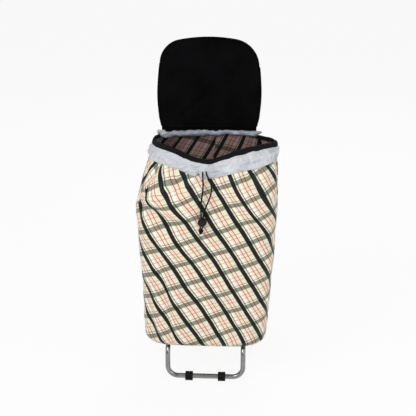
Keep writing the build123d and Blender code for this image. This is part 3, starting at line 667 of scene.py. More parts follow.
def under_roll(round_m):
    """1 where the rim is tucked in under the rolled nylon, round the left side and back, and 0 elsewhere."""
    left = 1 - smooth_steps(round_m, ROLL_START - ROLL_TUCK_LENGTH, ROLL_START)
    right = smooth_steps(round_m, ROLL_END, ROLL_END + ROLL_TUCK_LENGTH)
    return np.maximum(left, right)


print("rim level", round(RIM_LEVEL, 4), "hem level", HEM_LEVEL)

# %% [markdown]
# ### Folds and gathers
#
# The cloth's map runs round the bag, with 0 at the middle of the front, and up its height. The folds are
# written on that map: each is a ridge along a line, with a hollow beside it, that fades at both ends. A
# fold also takes up cloth, so the stripes on both sides of it are drawn together. Below the collar the
# cloth is gathered, and the gathers die away down the front.

# %% Folds
# Each fold: start (round, up), end (round, up), width, height of its ridge and cloth taken up in it
FRONT_FOLDS = [
    (-0.185, 0.560, -0.075, 0.500, 0.014, 0.0090, 0.024),
    (-0.150, 0.640, -0.165, 0.500, 0.010, 0.0060, 0.012),
    (-0.085, 0.625, -0.150, 0.535, 0.014, 0.0055, -0.010),
    (-0.040, 0.615, -0.085, 0.540, 0.011, 0.0040, -0.006),
    (-0.170, 0.455, -0.030, 0.370, 0.026, 0.0060, 0.006),
    (-0.118, 0.330, -0.096, 0.135, 0.013, -0.0060, 0.014),
    (-0.155, 0.270, -0.135, 0.140, 0.012, 0.0050, 0.010),
    (0.040, 0.590, 0.160, 0.470, 0.018, 0.0065, 0.012),
    (0.110, 0.612, 0.175, 0.550, 0.012, 0.0045, -0.006),
    (0.020, 0.305, 0.140, 0.205, 0.026, 0.0050, 0.004),
    (-0.020, 0.460, 0.090, 0.400, 0.024, 0.0035, 0.003),
    (0.085, 0.190, 0.150, 0.150, 0.016, 0.0035, 0.003),
    (-0.060, 0.215, 0.020, 0.160, 0.018, 0.0030, -0.003),
]
# Shares of a fold's length over which it rises and falls, and its hollow and pull in widths
FOLD_RISE = (-0.35, 0.25)
FOLD_FALL = (0.75, 1.35)
HOLLOW_DEPTH = 0.55
HOLLOW_PLACE = 1.7
HOLLOW_WIDTH = 1.2
PULL_REACH = 6
PULL_STEEPNESS = 1.3


def fold_relief(folds, round_m, up_m):
    """Height of folds on a map, a ridge along each line with a hollow beside it, and how far each point's
    cloth is drawn along the map, across the fold, by what the fold takes up. Both fade at the fold's ends."""
    relief = np.zeros_like(round_m)
    drawn = np.zeros(round_m.shape + (2,))
    for r0, u0, r1, u1, width, height, taken in folds:
        length = math.hypot(r1 - r0, u1 - u0)
        dr, du = (r1 - r0) / length, (u1 - u0) / length
        along = (round_m - r0) * dr + (up_m - u0) * du
        aside = (round_m - r0) * du - (up_m - u0) * dr
        fade = smooth_steps(along, FOLD_RISE[0] * length, FOLD_RISE[1] * length)
        fade = fade * (1 - smooth_steps(along, FOLD_FALL[0] * length, FOLD_FALL[1] * length))
        hollow = bell(aside - HOLLOW_PLACE * width, HOLLOW_WIDTH * width)
        relief += height * fade * (bell(aside, width) - HOLLOW_DEPTH * hollow)
        pull = taken * fade * bell(aside, PULL_REACH * width) * np.tanh(PULL_STEEPNESS * aside / width) / 2
        drawn += pull[..., None] * np.array([du, -dr])
    return relief, drawn


print("folds", len(FRONT_FOLDS))

# %% Skin of the bag
GATHER_DEPTH = 0.0022
GATHER_FADE = 0.085
GATHER_REPEAT = 0.031
GATHER_DRIFT = 1.4
GATHER_DRIFT_REPEAT = 0.117
SLACK_HEIGHT = 0.0016
CRUMPLE_HEIGHT = 0.0006
EDGE_CALM_HEIGHT = 0.05
BACK_CALM_DEPTHS = (0.0, 0.045)
BACK_CALM = 0.92
HEM_CALM = (-0.004, 0.016)
MOST_RELIEF = 0.012


def bag_skin(turn, z, round_m):
    """Bag's outer surface: its outline pushed out by its folds, gathers and unevenness. It is smooth under
    the collar, at the bottom edge and against the frame."""
    point, out = bag_outline(turn, z)
    wall = smooth_steps(z, BAG_BOTTOM, BAG_BOTTOM + EDGE_CALM_HEIGHT)
    back = smooth_steps(point[..., 1], *BACK_CALM_DEPTHS)
    relief, _ = fold_relief(FRONT_FOLDS, round_m, z)
    relief += SLACK_HEIGHT * ripples(round_m, z, 0.13, 7, 3)
    relief += CRUMPLE_HEIGHT * ripples(round_m, z, 0.045, 7, 5)
    below = hem_height(point[..., 0], point[..., 1]) - z
    drift = GATHER_DRIFT * np.sin(2 * np.pi * round_m / GATHER_DRIFT_REPEAT)
    gather = np.sin(2 * np.pi * round_m / GATHER_REPEAT + drift)
    relief += GATHER_DEPTH * gather * bell(np.maximum(below, 0), GATHER_FADE)
    relief = relief * wall * (1 - BACK_CALM * back) * smooth_steps(below, *HEM_CALM)
    return point + out * np.minimum(relief, MOST_RELIEF)[..., None]


# %% [markdown]
# ### Bag mesh
#
# The grid starts at the middle of the floor, goes out to the bottom edge, round it and up to the rim.
# One sheet is enough, because a Solidify modifier then gives the cloth its thickness and puts a darker
# plaid on the inside: the reverse's duller cloth, darkened by painted shade.

# %% Bag grid
WALL_ROWS = 120
EDGE_ROWS = 8
FLOOR_ROWS = 12
EDGE_RADIUS = 0.024
FRONT_DROOP = 0.0040
DROOP_DEPTHS = (0.122, 0.145)
DROOP_HEIGHT = 0.05
FLOOR_SAG = 0.0005
FLOOR_SAG_HALF = 0.098
FLOOR_MAP_LENGTH = 0.1
RIM_CLEARANCE = 0.001
ROLL_TUCK_DEPTH = 0.010


def bag_grid():
    """Points of the bag's floor, bottom edge and wall, with the distances up that its map uses. In front of
    the foot's legs the bottom edge hangs a little lower."""
    turn = turns[:-1]
    round_m = girth[:-1] - GIRTH / 2
    edge_z = BAG_BOTTOM + EDGE_RADIUS
    share = np.linspace(0, 1, FLOOR_ROWS, endpoint=False)[:, None]
    outline, _ = level_outline(turn, BAG_BOTTOM, EDGE_RADIUS)
    middle = outline.mean(axis=0)
    floor = middle + (outline - middle) * share[..., None]
    sag = FLOOR_SAG * np.cos(np.clip(floor[..., 0] / FLOOR_SAG_HALF, -1, 1) * np.pi / 2) * (1 - share**4)
    floor[..., 2] = BAG_BOTTOM - sag
    floor_up = BAG_BOTTOM - FLOOR_MAP_LENGTH * (1 - share) + 0 * sag
    angle = np.linspace(0, np.pi / 2, EDGE_ROWS, endpoint=False)[:, None] + 0 * turn
    edge_up = edge_z - EDGE_RADIUS * np.cos(angle)
    edge, _ = bag_outline(turn, edge_up, EDGE_RADIUS * (1 - np.sin(angle)))
    top, _ = level_outline(turn, RIM_LEVEL)
    rim = rim_height(top[:, 0], top[:, 1]) - RIM_CLEARANCE - ROLL_TUCK_DEPTH * under_roll(round_m)
    wall_up = edge_z + (rim - edge_z) * np.linspace(0, 1, WALL_ROWS)[:, None]
    wall = bag_skin(turn, wall_up, round_m + 0 * wall_up)
    points = np.concatenate([floor, edge, wall])
    in_front = smooth_steps(-points[..., 1], *DROOP_DEPTHS)
    low = 1 - smooth_steps(points[..., 2], BAG_BOTTOM, BAG_BOTTOM + DROOP_HEIGHT)
    points[..., 2] -= FRONT_DROOP * in_front * low
    return points, np.concatenate([floor_up, edge_up, wall_up])


# %% [markdown]
# The cloth is sewn from a front, two sides and a back, each cut at its own angle, so the plaid breaks at
# the seams. Each panel's map is turned about the panel's own middle.

# %% Panels of the cloth
# Seams that divide the cloth into front, side and back panels, as distances round from the front's middle
SEAMS = (-0.395, -0.215, 0.222, 0.400)
PANELS = ("back", "left", "front", "right", "back")
# The left front seam is drawn round to the front near the mouth: heights, and how far it moves
SEAM_HEIGHTS = [0.10, 0.50, 0.56, 0.60, 0.70]
SEAM_SHIFT = [0.0, 0.0, 0.030, 0.052, 0.066]
PANEL_TURN = {"front": 0.0, "left": math.radians(62), "right": math.radians(-48), "back": math.radians(8)}
PANEL_MIDDLE = {"front": 0.0, "left": -0.277, "right": 0.286, "back": 0.55}
PANEL_MIDDLE_UP = 0.4


def panel_map(round_m, up_m):
    """Map of the cloth at face corners: the panel that a face lies in is turned about its own middle."""
    u, v = round_m.copy(), up_m.copy()
    edges = [-np.inf, *SEAMS, np.inf]
    face_round = (round_m[..., :1] + round_m[..., 1:2]) / 2
    face_up = up_m.mean(axis=-1, keepdims=True)
    shift = curve_through(face_up, SEAM_HEIGHTS, SEAM_SHIFT)
    shifted = face_round - np.where(face_round < 0, shift, 0)
    for panel, low, high in zip(PANELS, edges, edges[1:]):
        inside = (shifted >= low) & (shifted < high)
        c, s = math.cos(PANEL_TURN[panel]), math.sin(PANEL_TURN[panel])
        middle = PANEL_MIDDLE[panel]
        du, dv = round_m - middle, up_m - PANEL_MIDDLE_UP
        u = np.where(inside, middle + du * c - dv * s, u)
        v = np.where(inside, PANEL_MIDDLE_UP + du * s + dv * c, v)
    return np.stack([u, v], axis=-1)


def cloth_corners(ups):
    """Map at the corners of each face of the bag, with the cloth that the folds take up."""
    corner_up = quad_corners(with_first_column(ups))
    round_edges = np.broadcast_to(girth - GIRTH / 2, (len(ups), AROUND + 1))
    corner_round = quad_corners(round_edges)
    _, drawn = fold_relief(FRONT_FOLDS, corner_round, corner_up)
    return panel_map(corner_round, corner_up) + drawn


# %% Bag body
CLOTH_THICKNESS = 0.0016

points, ups = bag_grid()
bag = grid_piece("bag_cloth", points, [PLAID, PLAID_REVERSE_SHADED], cloth_corners(ups))
wall = bag.modifiers.new("cloth_thickness", "SOLIDIFY")
wall.thickness = CLOTH_THICKNESS
wall.offset = -1
wall.material_offset = 1
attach(bag, "frame")
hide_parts("bag_body")
print("bag cloth", points.shape[0], "x", points.shape[1])

# %% [markdown]
# ## Drawcord
#
# Two strands of black braid come out of the collar's slit, hang down the front of the bag and pass
# through the cord lock to a knot. A hanging cord is a smooth line, so each strand follows a NURBS spline
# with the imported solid's route points as its control points. The curve itself could carry a round bevel,
# but the braid needs a map, so it is a tube round points read from the spline.

# %% Drawcord routes
CORD_DIAMETER = 0.004
STRAND_ROUTES = {
    "left": [
        (-0.0045, -0.16729, 0.6290),
        (-0.0045, -0.17379, 0.6290),
        (-0.0046, -0.1800, 0.6225),
        (-0.0035, -0.1835, 0.6100),
        (-0.0025, -0.1850, 0.5920),
        (-0.0052, -0.1856, 0.5680),
        (-0.0086, -0.1864, 0.5450),
        (-0.0090, -0.1886, 0.5250),
        (-0.0076, -0.1920, 0.5090),
        (-0.0076, -0.1920, 0.4835),
        (-0.0116, -0.1920, 0.4750),
    ],
    "right": [
        (0.0045, -0.16729, 0.6290),
        (0.0045, -0.17379, 0.6290),
        (0.0064, -0.1800, 0.6220),
        (0.0128, -0.1835, 0.6110),
        (0.0194, -0.1848, 0.5940),
        (0.0190, -0.1854, 0.5730),
        (0.0105, -0.1866, 0.5500),
        (0.0016, -0.1894, 0.5290),
        (-0.0024, -0.1920, 0.5090),
        (-0.0024, -0.1920, 0.4835),
        (-0.0064, -0.1920, 0.4750),
    ],
}
SPLINE_STEPS = 14


def spline_points(route):
    """Points along the NURBS spline whose control points are the route's."""
    curve = bpy.data.curves.new("route", "CURVE")
    curve.dimensions = "3D"
    curve.resolution_u = SPLINE_STEPS
    spline = curve.splines.new("NURBS")
    spline.points.add(len(route) - 1)
    spline.points.foreach_set("co", np.c_[np.array(route), np.ones(len(route))].astype(np.float32).ravel())
    spline.order_u = 3
    spline.use_endpoint_u = True
    line = bpy.data.objects.new("route", curve)
    read = bpy.data.meshes.new_from_object(line)
    points = np.empty(3 * len(read.vertices), np.float32)
    read.vertices.foreach_get("co", points)
    bpy.data.objects.remove(line)
    bpy.data.curves.remove(curve)
    bpy.data.meshes.remove(read)
    return points.reshape(-1, 3).astype(float)


# %% Drawcord strands
CORD_SIDES = 14


def cord_piece(name, path):
    """Braided tube along a path, with its map: distance along, and share of a turn."""
    points = drawn_to_points(tube_grid(path, CORD_DIAMETER / 2, CORD_SIDES))
    run = distance_along(path)
    along = np.broadcast_to(ends_repeated(run)[:, None], (len(points), CORD_SIDES + 1))
    turn = np.broadcast_to(np.linspace(0, 1, CORD_SIDES + 1), along.shape)
    piece = grid_piece(name, points, [CORD], corner_map(along, turn))
    return piece, float(run[-1])


strands = {}
for side, route in STRAND_ROUTES.items():
    path = spline_points(route)
    strands[side] = (*cord_piece(f"drawcord_{side}_braid", path), path)
    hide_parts(f"drawcord_{side}")
    print("strand", side, "length", round(strands[side][1], 4), "points", len(path))


# %% [markdown]
# The tails end in one overhand knot. A knot could be drawn by hand, point by point, but its line has a
# formula: the classic three-lobed knot, fitted to the box of the knot's solid.

# %% End knot
KNOT_POINTS = 120
knot_low, knot_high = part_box("cord_end_knot")


def knot_path(count):
    """Closed line of a three-lobed knot: waves of one, two and three turns, fitted to the knot's box."""
    t = np.linspace(0, 2 * np.pi, count)
    across = np.sin(t) + 2 * np.sin(2 * t)
    deep = -np.sin(3 * t)
    up = np.cos(t) - 2 * np.cos(2 * t)
    raw = np.stack([across, deep, up], axis=-1)
    low, high = np.array(knot_low) + CORD_DIAMETER / 2, np.array(knot_high) - CORD_DIAMETER / 2
    unit = (raw - raw.min(axis=0)) / (raw.max(axis=0) - raw.min(axis=0))
    return low + unit * (high - low)


knot, knot_length = cord_piece("drawcord_knot", knot_path(KNOT_POINTS))
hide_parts("cord_end_knot")
print("knot line", round(knot_length, 4))

# %% [markdown]
# The cord lock slides up the strands, and its spring shortens as its button is pressed. Here the
# strands and the knot only have their placement baked into their points, and the spring gets a mesh of
# its own.

for piece in (strands["left"][0], strands["right"][0], knot):
    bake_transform(piece)
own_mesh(nodes["cord_lock_spring"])

# %% [markdown]
# ## Collar and binding
#
# Outside the rim, a band of light grey nylon makes the drawcord's channel. It is sewn down along its top
# and bottom, so it puffs out between them and wrinkles along its length. A black tape is folded over the
# rim itself. Both could be cloth pinned at its seams, but what shows is their section, so both are
# profiles carried round the rim, at right angles to it.

# %% Rim path
RIM_COLUMNS = 560
rim_turn, rim_run = even_turns(RIM_COLUMNS, RIM_LEVEL)
rim_turn = rim_turn[:-1]
rim_round = (rim_run[:-1] / rim_run[-1] - 0.5) * GIRTH
rim_flat, rim_out = level_outline(rim_turn, RIM_LEVEL)
rim_top = rim_height(rim_flat[:, 0], rim_flat[:, 1])
rim_tucked = under_roll(rim_round)
print("rim length", round(float(rim_run[-1]), 3))


def carried(out_m, height):
    """Points of a profile carried round the rim: out_m outwards from the cloth's line, at a height."""
    points, _ = bag_outline(rim_turn[None] + 0 * height, height)
    return points + rim_out[None] * out_m[..., None]


# %% Collar
COLLAR_ROWS = 44
COLLAR_PUFF = 0.0060
COLLAR_TOP_DROP = 0.0095
COLLAR_ROLL_LIFT = 0.006
COLLAR_OUTSIDE = 0.0020
COLLAR_INSIDE = 0.0006
WRINKLE_HEIGHT = 0.0023
CREASE_DEPTH = 0.0016
CREASE_SHARPNESS = 0.22
# Line of stitches along the channel: its share of the collar's height, its width and depth
STITCH_SHARE = 0.60
STITCH_WIDTH = 0.05
STITCH_DEPTH = 0.0016
SLIT_WIDTH = 0.0065
SLIT_DEPTH = 0.85


def collar_grid():
    """Closed profile: up the puffed outside from the hem to the binding, and down again against the cloth.
    The outside is an arch between its seams, with round wrinkles, sharp creases and a line of stitches."""
    hem = hem_height(rim_flat[:, 0], rim_flat[:, 1])
    top = rim_top - COLLAR_TOP_DROP + COLLAR_ROLL_LIFT * rim_tucked
    share = np.linspace(0, 1, COLLAR_ROWS)[:, None]
    height = hem + (top - hem) * share
    along = rim_round[None]
    uneven = 0.9 - 2 * np.abs(ripples(0.45 * along, 1.7 * height, 0.034, 5, 21))
    uneven += 0.5 - np.abs(ripples(along, 0.8 * height, 0.022, 6, 22))
    uneven += 0.35 * ripples(along, height, 0.010, 8, 24)
    arch = np.sin(np.pi * share)
    puff = COLLAR_PUFF * arch**0.7 * (1 + 0.16 * line_ripples(along, 0.10, 5, 23))
    stitches = -STITCH_DEPTH * bell(share - STITCH_SHARE, STITCH_WIDTH)
    front = smooth_steps(-rim_flat[:, 1], *HEM_FRONT_DEPTHS)
    slit = 1 - SLIT_DEPTH * bell(rim_flat[:, 0], SLIT_WIDTH) * front
    crease = bell(ripples(0.30 * along, 1.5 * height, 0.016, 6, 25), CREASE_SHARPNESS)
    wrinkles = arch**0.5 * (WRINKLE_HEIGHT * uneven - CREASE_DEPTH * crease + stitches)
    outside = COLLAR_OUTSIDE + slit * (puff + wrinkles)
    inside = np.full_like(height, COLLAR_INSIDE)
    return carried(np.concatenate([outside, inside]), np.concatenate([height, height[::-1]]))


points = collar_grid()
collar = grid_piece("bag_collar_nylon", points, [NYLON], close_rows=True)
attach(collar, "frame")
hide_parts("bag_collar", "drawcord_channel_run")
print("collar from", round(float(points[..., 2].min()), 4), "to", round(float(points[..., 2].max()), 4))

# %% [markdown]
# The binding's section is a soft rectangle. Where the nylon rolls over the rim, the binding is narrower
# and tucked in under it.

# %% Rim binding
BINDING_HEIGHT = 0.012
BINDING_HALF = 0.0042
BINDING_SIDES = 24
BINDING_ROUND = 0.03
BINDING_SWAY = 0.0007
BINDING_LIFT = 0.0006
# What the roll does to the binding: how far in and down it goes, and the shares of its height and width lost
TUCKED_IN = 0.003
TUCKED_DOWN = 0.0015
TUCKED_HEIGHT = 0.70
TUCKED_WIDTH = 0.6


def binding_grid():
    """Rounded profile of the folded tape, a soft rectangle, carried round the rim with small unevenness."""
    a = ring_angles(BINDING_SIDES, -0.5 * np.pi)[:, None]
    across, up = soft_power(np.cos(a), 0.5), soft_power(np.sin(a), 0.6)
    sway = BINDING_SWAY * line_ripples(rim_round, 0.05, 6, 31) - TUCKED_IN * rim_tucked
    lift = BINDING_LIFT * line_ripples(rim_round, 0.04, 6, 32) - TUCKED_DOWN * rim_tucked
    middle = rim_top + lift - BINDING_HEIGHT / 2
    height = middle + BINDING_HEIGHT / 2 * (1 - TUCKED_HEIGHT * rim_tucked) * up
    return carried(BINDING_HALF * (1 - TUCKED_WIDTH * rim_tucked) * across + sway, height)


along = np.broadcast_to(np.append(rim_round, GIRTH / 2), (BINDING_SIDES + 1, RIM_COLUMNS + 1))
around = np.broadcast_to(np.linspace(0, BINDING_ROUND, BINDING_SIDES + 1)[:, None], along.shape)
binding_map = corner_map(along, around)
binding = grid_piece("rim_binding_tape", binding_grid(), [BINDING_TAPE], binding_map, close_rows=True)
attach(binding, "frame")
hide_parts("bag_rim_binding")
print("binding", BINDING_HEIGHT, "high")

# %% [markdown]
# ## Rolled nylon
#
# Round the back and the left side, the slack nylon rolls over the rim. It is a tube along the rim whose
# thickness and height wander. At both ends it stands up in a puff. The roll is painted darker than the
# collar, as painted shade from the lid, and only the puff on the left keeps the collar's plain nylon. A
# closing lid presses the puffs down; here the roll keeps its open shape.

# %% Roll form
ROLL_ROWS = 160
ROLL_SIDES = 20
ROLL_RADIUS = 0.0080
ROLL_THINNING = 0.0012
ROLL_THINNING_RUN = (0.20, 0.34)
ROLL_OVERHANG = 0.0045
ROLL_TOP_DROP = 0.0012
ROLL_SWAY = 0.0012
ROLL_LIFT = 0.0009
ROLL_END_SHARE = 0.0005
ROLL_END_STEEPNESS = 5
PUFF_LENGTH = 0.036
PUFF_RISE = 0.019
PUFF_RADIUS = 0.0040
PUFF_OUTWARDS = 0.65
END_PUFF_LENGTH = 0.022
END_PUFF_RISE = 0.008


def roll_grid():
    """Rings round a path on the rim, from the front left corner round the back to the right corner."""
    length = GIRTH - ROLL_END + ROLL_START
    run = np.linspace(0, length, ROLL_ROWS)
    place = np.mod(ROLL_START - run + GIRTH / 2, GIRTH)
    turn = np.interp(place, rim_run * GIRTH / rim_run[-1], np.append(rim_turn, rim_turn[0] + 2 * np.pi))
    path, out = level_outline(turn, RIM_LEVEL)
    first = bell(run, PUFF_LENGTH)
    last = bell(length - run, END_PUFF_LENGTH)
    thick = ROLL_RADIUS + PUFF_RADIUS * first - ROLL_THINNING * smooth_steps(run, *ROLL_THINNING_RUN)
    thick = thick * (1 + 0.08 * line_ripples(run, 0.085, 6, 41))
    inset = thick * (1 - PUFF_OUTWARDS * first) - ROLL_OVERHANG + ROLL_SWAY * line_ripples(run, 0.05, 5, 42)
    path = path - out * inset[:, None]
    path[:, 2] = RIM_LEVEL - ROLL_TOP_DROP - thick + ROLL_LIFT * line_ripples(run, 0.06, 5, 43)
    path[:, 2] += PUFF_RISE * first + END_PUFF_RISE * last
    share = np.clip(run / length, ROLL_END_SHARE, 1 - ROLL_END_SHARE)
    ends = np.sqrt(np.clip(np.sin(np.pi * share) * ROLL_END_STEEPNESS, 0, 1))
    rings = tube_grid(path, thick * ends, ROLL_SIDES)
    side = np.arange(ROLL_SIDES)[None]
    crease = 1 - 2 * np.abs(ripples(0.5 * run[:, None], 0.006 * side, 0.020, 6, 44))
    fine = ripples(run[:, None], 0.004 * side, 0.009, 8, 45)
    crumple = 1 + 0.12 * crease + 0.07 * fine
    middle = path[:, None]
    return drawn_to_points(middle + (rings - middle) * crumple[..., None])


# %% Rolled nylon
PLAIN_NYLON_ROWS = 18

points = roll_grid()
# Painted shade: the roll takes the darker nylon, except its first rows, the left puff, which keep the plain
# nylon
plain_nylon_face = np.arange((len(points) - 1) * ROLL_SIDES) < PLAIN_NYLON_ROWS * ROLL_SIDES
roll = grid_piece("collar_back_roll", points, [NYLON_PAINTED_SHADE, NYLON], face_material=plain_nylon_face)
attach(roll, "frame")
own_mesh(roll)
print("roll top", round(float(points[..., 2].max()), 4), "rim box top", round(rim_high.z, 4))

# %% [markdown]
# ## Lid flap
#
# The lid stands open against the handle. It is a thin padded flap with a black lining on the side that
# shows and plaid on its outside. Its outline is an arched top, two round corners and slightly bowed
# sides. It could be a flat plate with a Cloth simulation, but a flap this thin only needs a soft edge and
# slack folds, and those can be placed where they lie. The surface is drawn as rings from the middle of
# the lining out to the edge, and back in over the outside.

# %% Lid outline
lid_hinge = np.array(joints["lid_hinge"]["pos_m"], float)
LID_LEAN = math.radians(8.15)
LID_LENGTH = 0.250
LID_CORNER_RADII = (0.076, 0.064)
LID_TOP_RADIUS = 0.43
LID_TOP_REACH = 0.012
LID_SIDE_PLACES = [0.0, 0.03, 0.09, 0.14, 0.19]
LID_SIDE_HALF = [0.1345, 0.1385, 0.1435, 0.1415, 0.1365]
LID_FOOT_RADIUS = 0.006
RIGHTWARDS = np.array([1.0, 0, 0])
LID_UP = np.array([0, math.sin(LID_LEAN), math.cos(LID_LEAN)])
LID_FACE = np.array([0, -math.cos(LID_LEAN), math.sin(LID_LEAN)])


def half_outline(radius):
    """Right half of the lid's edge, from the middle of its top round a corner and down to its foot."""
    half = LID_SIDE_HALF[-1] - radius
    slope = math.atan((half + LID_TOP_REACH) / LID_TOP_RADIUS)
    top_x = np.linspace(0, half + radius * math.sin(slope), 60)
    top = np.c_[top_x, LID_LENGTH - top_x**2 / (2 * LID_TOP_RADIUS)]
    corner_up = top[-1, 1] - radius * math.cos(slope)
    a = np.linspace(np.pi / 2 - slope, 0, 60)
    corner = np.c_[half + radius * np.cos(a), corner_up + radius * np.sin(a)]
    side_up = np.linspace(corner_up, LID_FOOT_RADIUS, 120)
    side = np.c_[curve_through(side_up, LID_SIDE_PLACES, LID_SIDE_HALF), side_up]
    b = np.linspace(0, -np.pi / 2, 16)
    foot_x = side[-1, 0] - LID_FOOT_RADIUS
    foot = np.c_[foot_x + LID_FOOT_RADIUS * np.cos(b), LID_FOOT_RADIUS * (1 + np.sin(b))]
    return np.concatenate([top, corner, side, foot])


def lid_outline(count):
    """Points (across, up) round the lid at even distances, clockwise from the middle of its top."""
    right, left = (half_outline(radius) for radius in LID_CORNER_RADII)
    loop = np.concatenate([right, left[::-1] * [-1, 1]])
    run = distance_along(loop)
    even = np.linspace(0, run[-1], count, endpoint=False)
    return np.c_[np.interp(even, run, loop[:, 0]), np.interp(even, run, loop[:, 1])]


def on_lid(across, up, off):
    """Point of the lid in the room: across and up from the hinge, and off its middle plane to the front."""
    return lid_hinge + across[..., None] * RIGHTWARDS + up[..., None] * LID_UP + off[..., None] * LID_FACE


# %% Lid form
LID_AROUND = 240
LID_RINGS = 60
LID_THICKNESS = 0.006
LID_MIDDLE_SHARE = 0.46
LID_EDGE_THINNING = 0.62
LINING_SLACK = 0.0012
CREASE_HEIGHT = 0.0008
CREASE_FADE = 0.075
OUTSIDE_HEIGHT = 0.0010
# Stitched hem near the lid's edge: its share of the way out, its width and depth
LID_HEM_SHARE = 0.93
LID_HEM_WIDTH = 0.012
LID_HEM_DEPTH = 0.0007
# Slack folds of the lining's lower half, written as the bag's are: (across, up) on the flap
LID_FOLDS = [
    (-0.006, 0.098, -0.078, 0.026, 0.0085, -0.0020, 0.0),
    (-0.050, 0.125, -0.028, 0.085, 0.0110, 0.0012, 0.0),
    (0.056, 0.130, 0.062, 0.030, 0.0100, 0.0014, 0.0),
    (0.100, 0.110, 0.122, 0.040, 0.0080, -0.0013, 0.0),
    (-0.122, 0.100, -0.110, 0.024, 0.0070, -0.0014, 0.0),
    (-0.030, 0.050, 0.045, 0.022, 0.0090, 0.0012, 0.0),
]


def lid_grid():
    """Rings of the lining from its middle to the edge, then of the outside back to its middle. The padding
    thins to the edge, and the slack lining folds and creases towards the hinge."""
    edge = lid_outline(LID_AROUND)
    middle = np.array([0, LID_MIDDLE_SHARE * LID_LENGTH])
    share = np.sin(np.linspace(0, np.pi / 2, LID_RINGS))[:, None]
    flat = middle + (edge - middle) * share[..., None]
    across, up = flat[..., 0], flat[..., 1]
    pad = LID_THICKNESS / 2 * (1 - LID_EDGE_THINNING * share**10)
    folds, _ = fold_relief(LID_FOLDS, across, up)
    crease = folds + CREASE_HEIGHT * bell(up, CREASE_FADE) * ripples(0.35 * across, up, 0.022, 7, 51)
    crease += CREASE_HEIGHT * ripples(across, up, 0.10, 6, 52)
    hem = LID_HEM_DEPTH * bell(share - LID_HEM_SHARE, LID_HEM_WIDTH)
    calm = 1 - share**6
    front = pad - LINING_SLACK * calm + np.minimum(crease, LINING_SLACK) * calm - hem
    back = -pad + OUTSIDE_HEIGHT * calm * ripples(across, up, 0.09, 6, 53) + hem
    all_across, all_up = (np.concatenate([a, a[::-1]]) for a in (across, up))
    return on_lid(all_across, all_up, np.concatenate([front, back[::-1]])), all_across, all_up


# %% Lid mesh
points, across, up = lid_grid()
face_row = np.repeat(np.arange(len(points) - 1), LID_AROUND)
lid_map = corner_map(with_first_column(across), with_first_column(up))
lid = grid_piece("lid_flap", points, [LINING, PLAID], lid_map, face_material=face_row >= LID_RINGS - 1)
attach(lid, "lid")
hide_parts("lid_panel")
print("lid top", round(float(points[..., 2].max()), 4))

# %% [markdown]
# A round piping of the lining's cloth covers the lid's edge. It is a tube along the outline, thinner
# where it runs out at the two ends of the hinge.

# %% Lid piping
PIPING_RADIUS = 0.0034
PIPING_POINTS = 520
PIPING_SIDES = 14
PIPING_START = 0.004
PIPING_TAPER = 0.030
PIPING_END_SHARE = 0.3

edge = np.roll(lid_outline(PIPING_POINTS), PIPING_POINTS // 2, axis=0)
edge = edge[edge[:, 1] > PIPING_START]
swell = smooth_steps(edge[:, 1], PIPING_START, PIPING_TAPER)
thick = PIPING_RADIUS * (PIPING_END_SHARE + (1 - PIPING_END_SHARE) * swell)
line = on_lid(edge[:, 0], edge[:, 1], 0 * edge[:, 0])
piping = grid_piece("lid_edge_piping", drawn_to_points(tube_grid(line, thick, PIPING_SIDES)), [LINING])
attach(piping, "lid")
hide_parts("lid_piping")
print("piping length", round(float(distance_along(line)[-1]), 3))

# %% [markdown]
# The flap is sewn to the bag by a strip of black cloth that stands along the back rim up to the hinge
# line. It stays on the bag, so the lid can turn about its upper edge.

# %% Hinge tape
HINGE_TAPE_HALF = 0.134
HINGE_TAPE_THICKNESS = 0.0014
HINGE_TAPE_HEIGHT = 0.019
HINGE_TAPE_TOP = 0.0032
HINGE_TAPE_BACK = 0.0022
HINGE_TAPE_SWAY = 0.0005
HINGE_TAPE_ROWS = 90
HINGE_TAPE_SIDES = 20


def hinge_tape_grid():
    """Rounded flat profile carried across the back, from one side of the flap to the other."""
    across = np.linspace(-HINGE_TAPE_HALF, HINGE_TAPE_HALF, HINGE_TAPE_ROWS)
    b = ring_angles(HINGE_TAPE_SIDES)
    up = HINGE_TAPE_HEIGHT / 2 * soft_power(np.sin(b), 0.3)
    deep = HINGE_TAPE_THICKNESS / 2 * soft_power(np.cos(b), 0.5)
    sway = HINGE_TAPE_SWAY * line_ripples(across, 0.05, 5, 61)
    x = across[:, None] + 0 * b
    y = lid_hinge[1] + HINGE_TAPE_BACK + deep + sway[:, None]
    z = lid_hinge[2] + HINGE_TAPE_TOP - HINGE_TAPE_HEIGHT / 2 + up + 0 * x
    return drawn_to_points(np.stack([x, y, z], axis=-1))


points = hinge_tape_grid()
tape_map = length_map(np.linspace(0, 2 * HINGE_TAPE_HALF, len(points)), HINGE_TAPE_SIDES)
hinge_tape = grid_piece("lid_hinge_tape", points, [LINING], tape_map)
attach(hinge_tape, "frame")
print("hinge tape", 2 * HINGE_TAPE_HALF, "long")

# %% [markdown]
# ## Seam tapes and webbing
#
# Inside the bag, the seams at the two back corners are bound with black tape. A tape could be a flat
# strip with a thickness added, but a closed, slightly rounded profile catches light at its edges. It is
# carried up the bag's inner wall at the angle where the rim has the seam's place.

# %% Seam tapes
SEAM_TAPE_PLACES = (-0.118, 0.142)
SEAM_TAPE_HALF = 0.0042
SEAM_TAPE_DEPTH = 0.0011
SEAM_TAPE_OFFSET = 0.0006
SEAM_TAPE_LOW = 0.16
SEAM_TAPE_TOP_DROP = 0.010
SEAM_TAPE_ROWS = 90
SEAM_TAPE_SIDES = 14


def back_turn(x, level):
    """Angle at which the bag's back outline at a level has a given x."""
    turn = np.linspace(0.02 * np.pi, 0.98 * np.pi, 2001)
    point, _ = level_outline(turn, level)
    return float(np.interp(-x, -point[:, 0], turn))


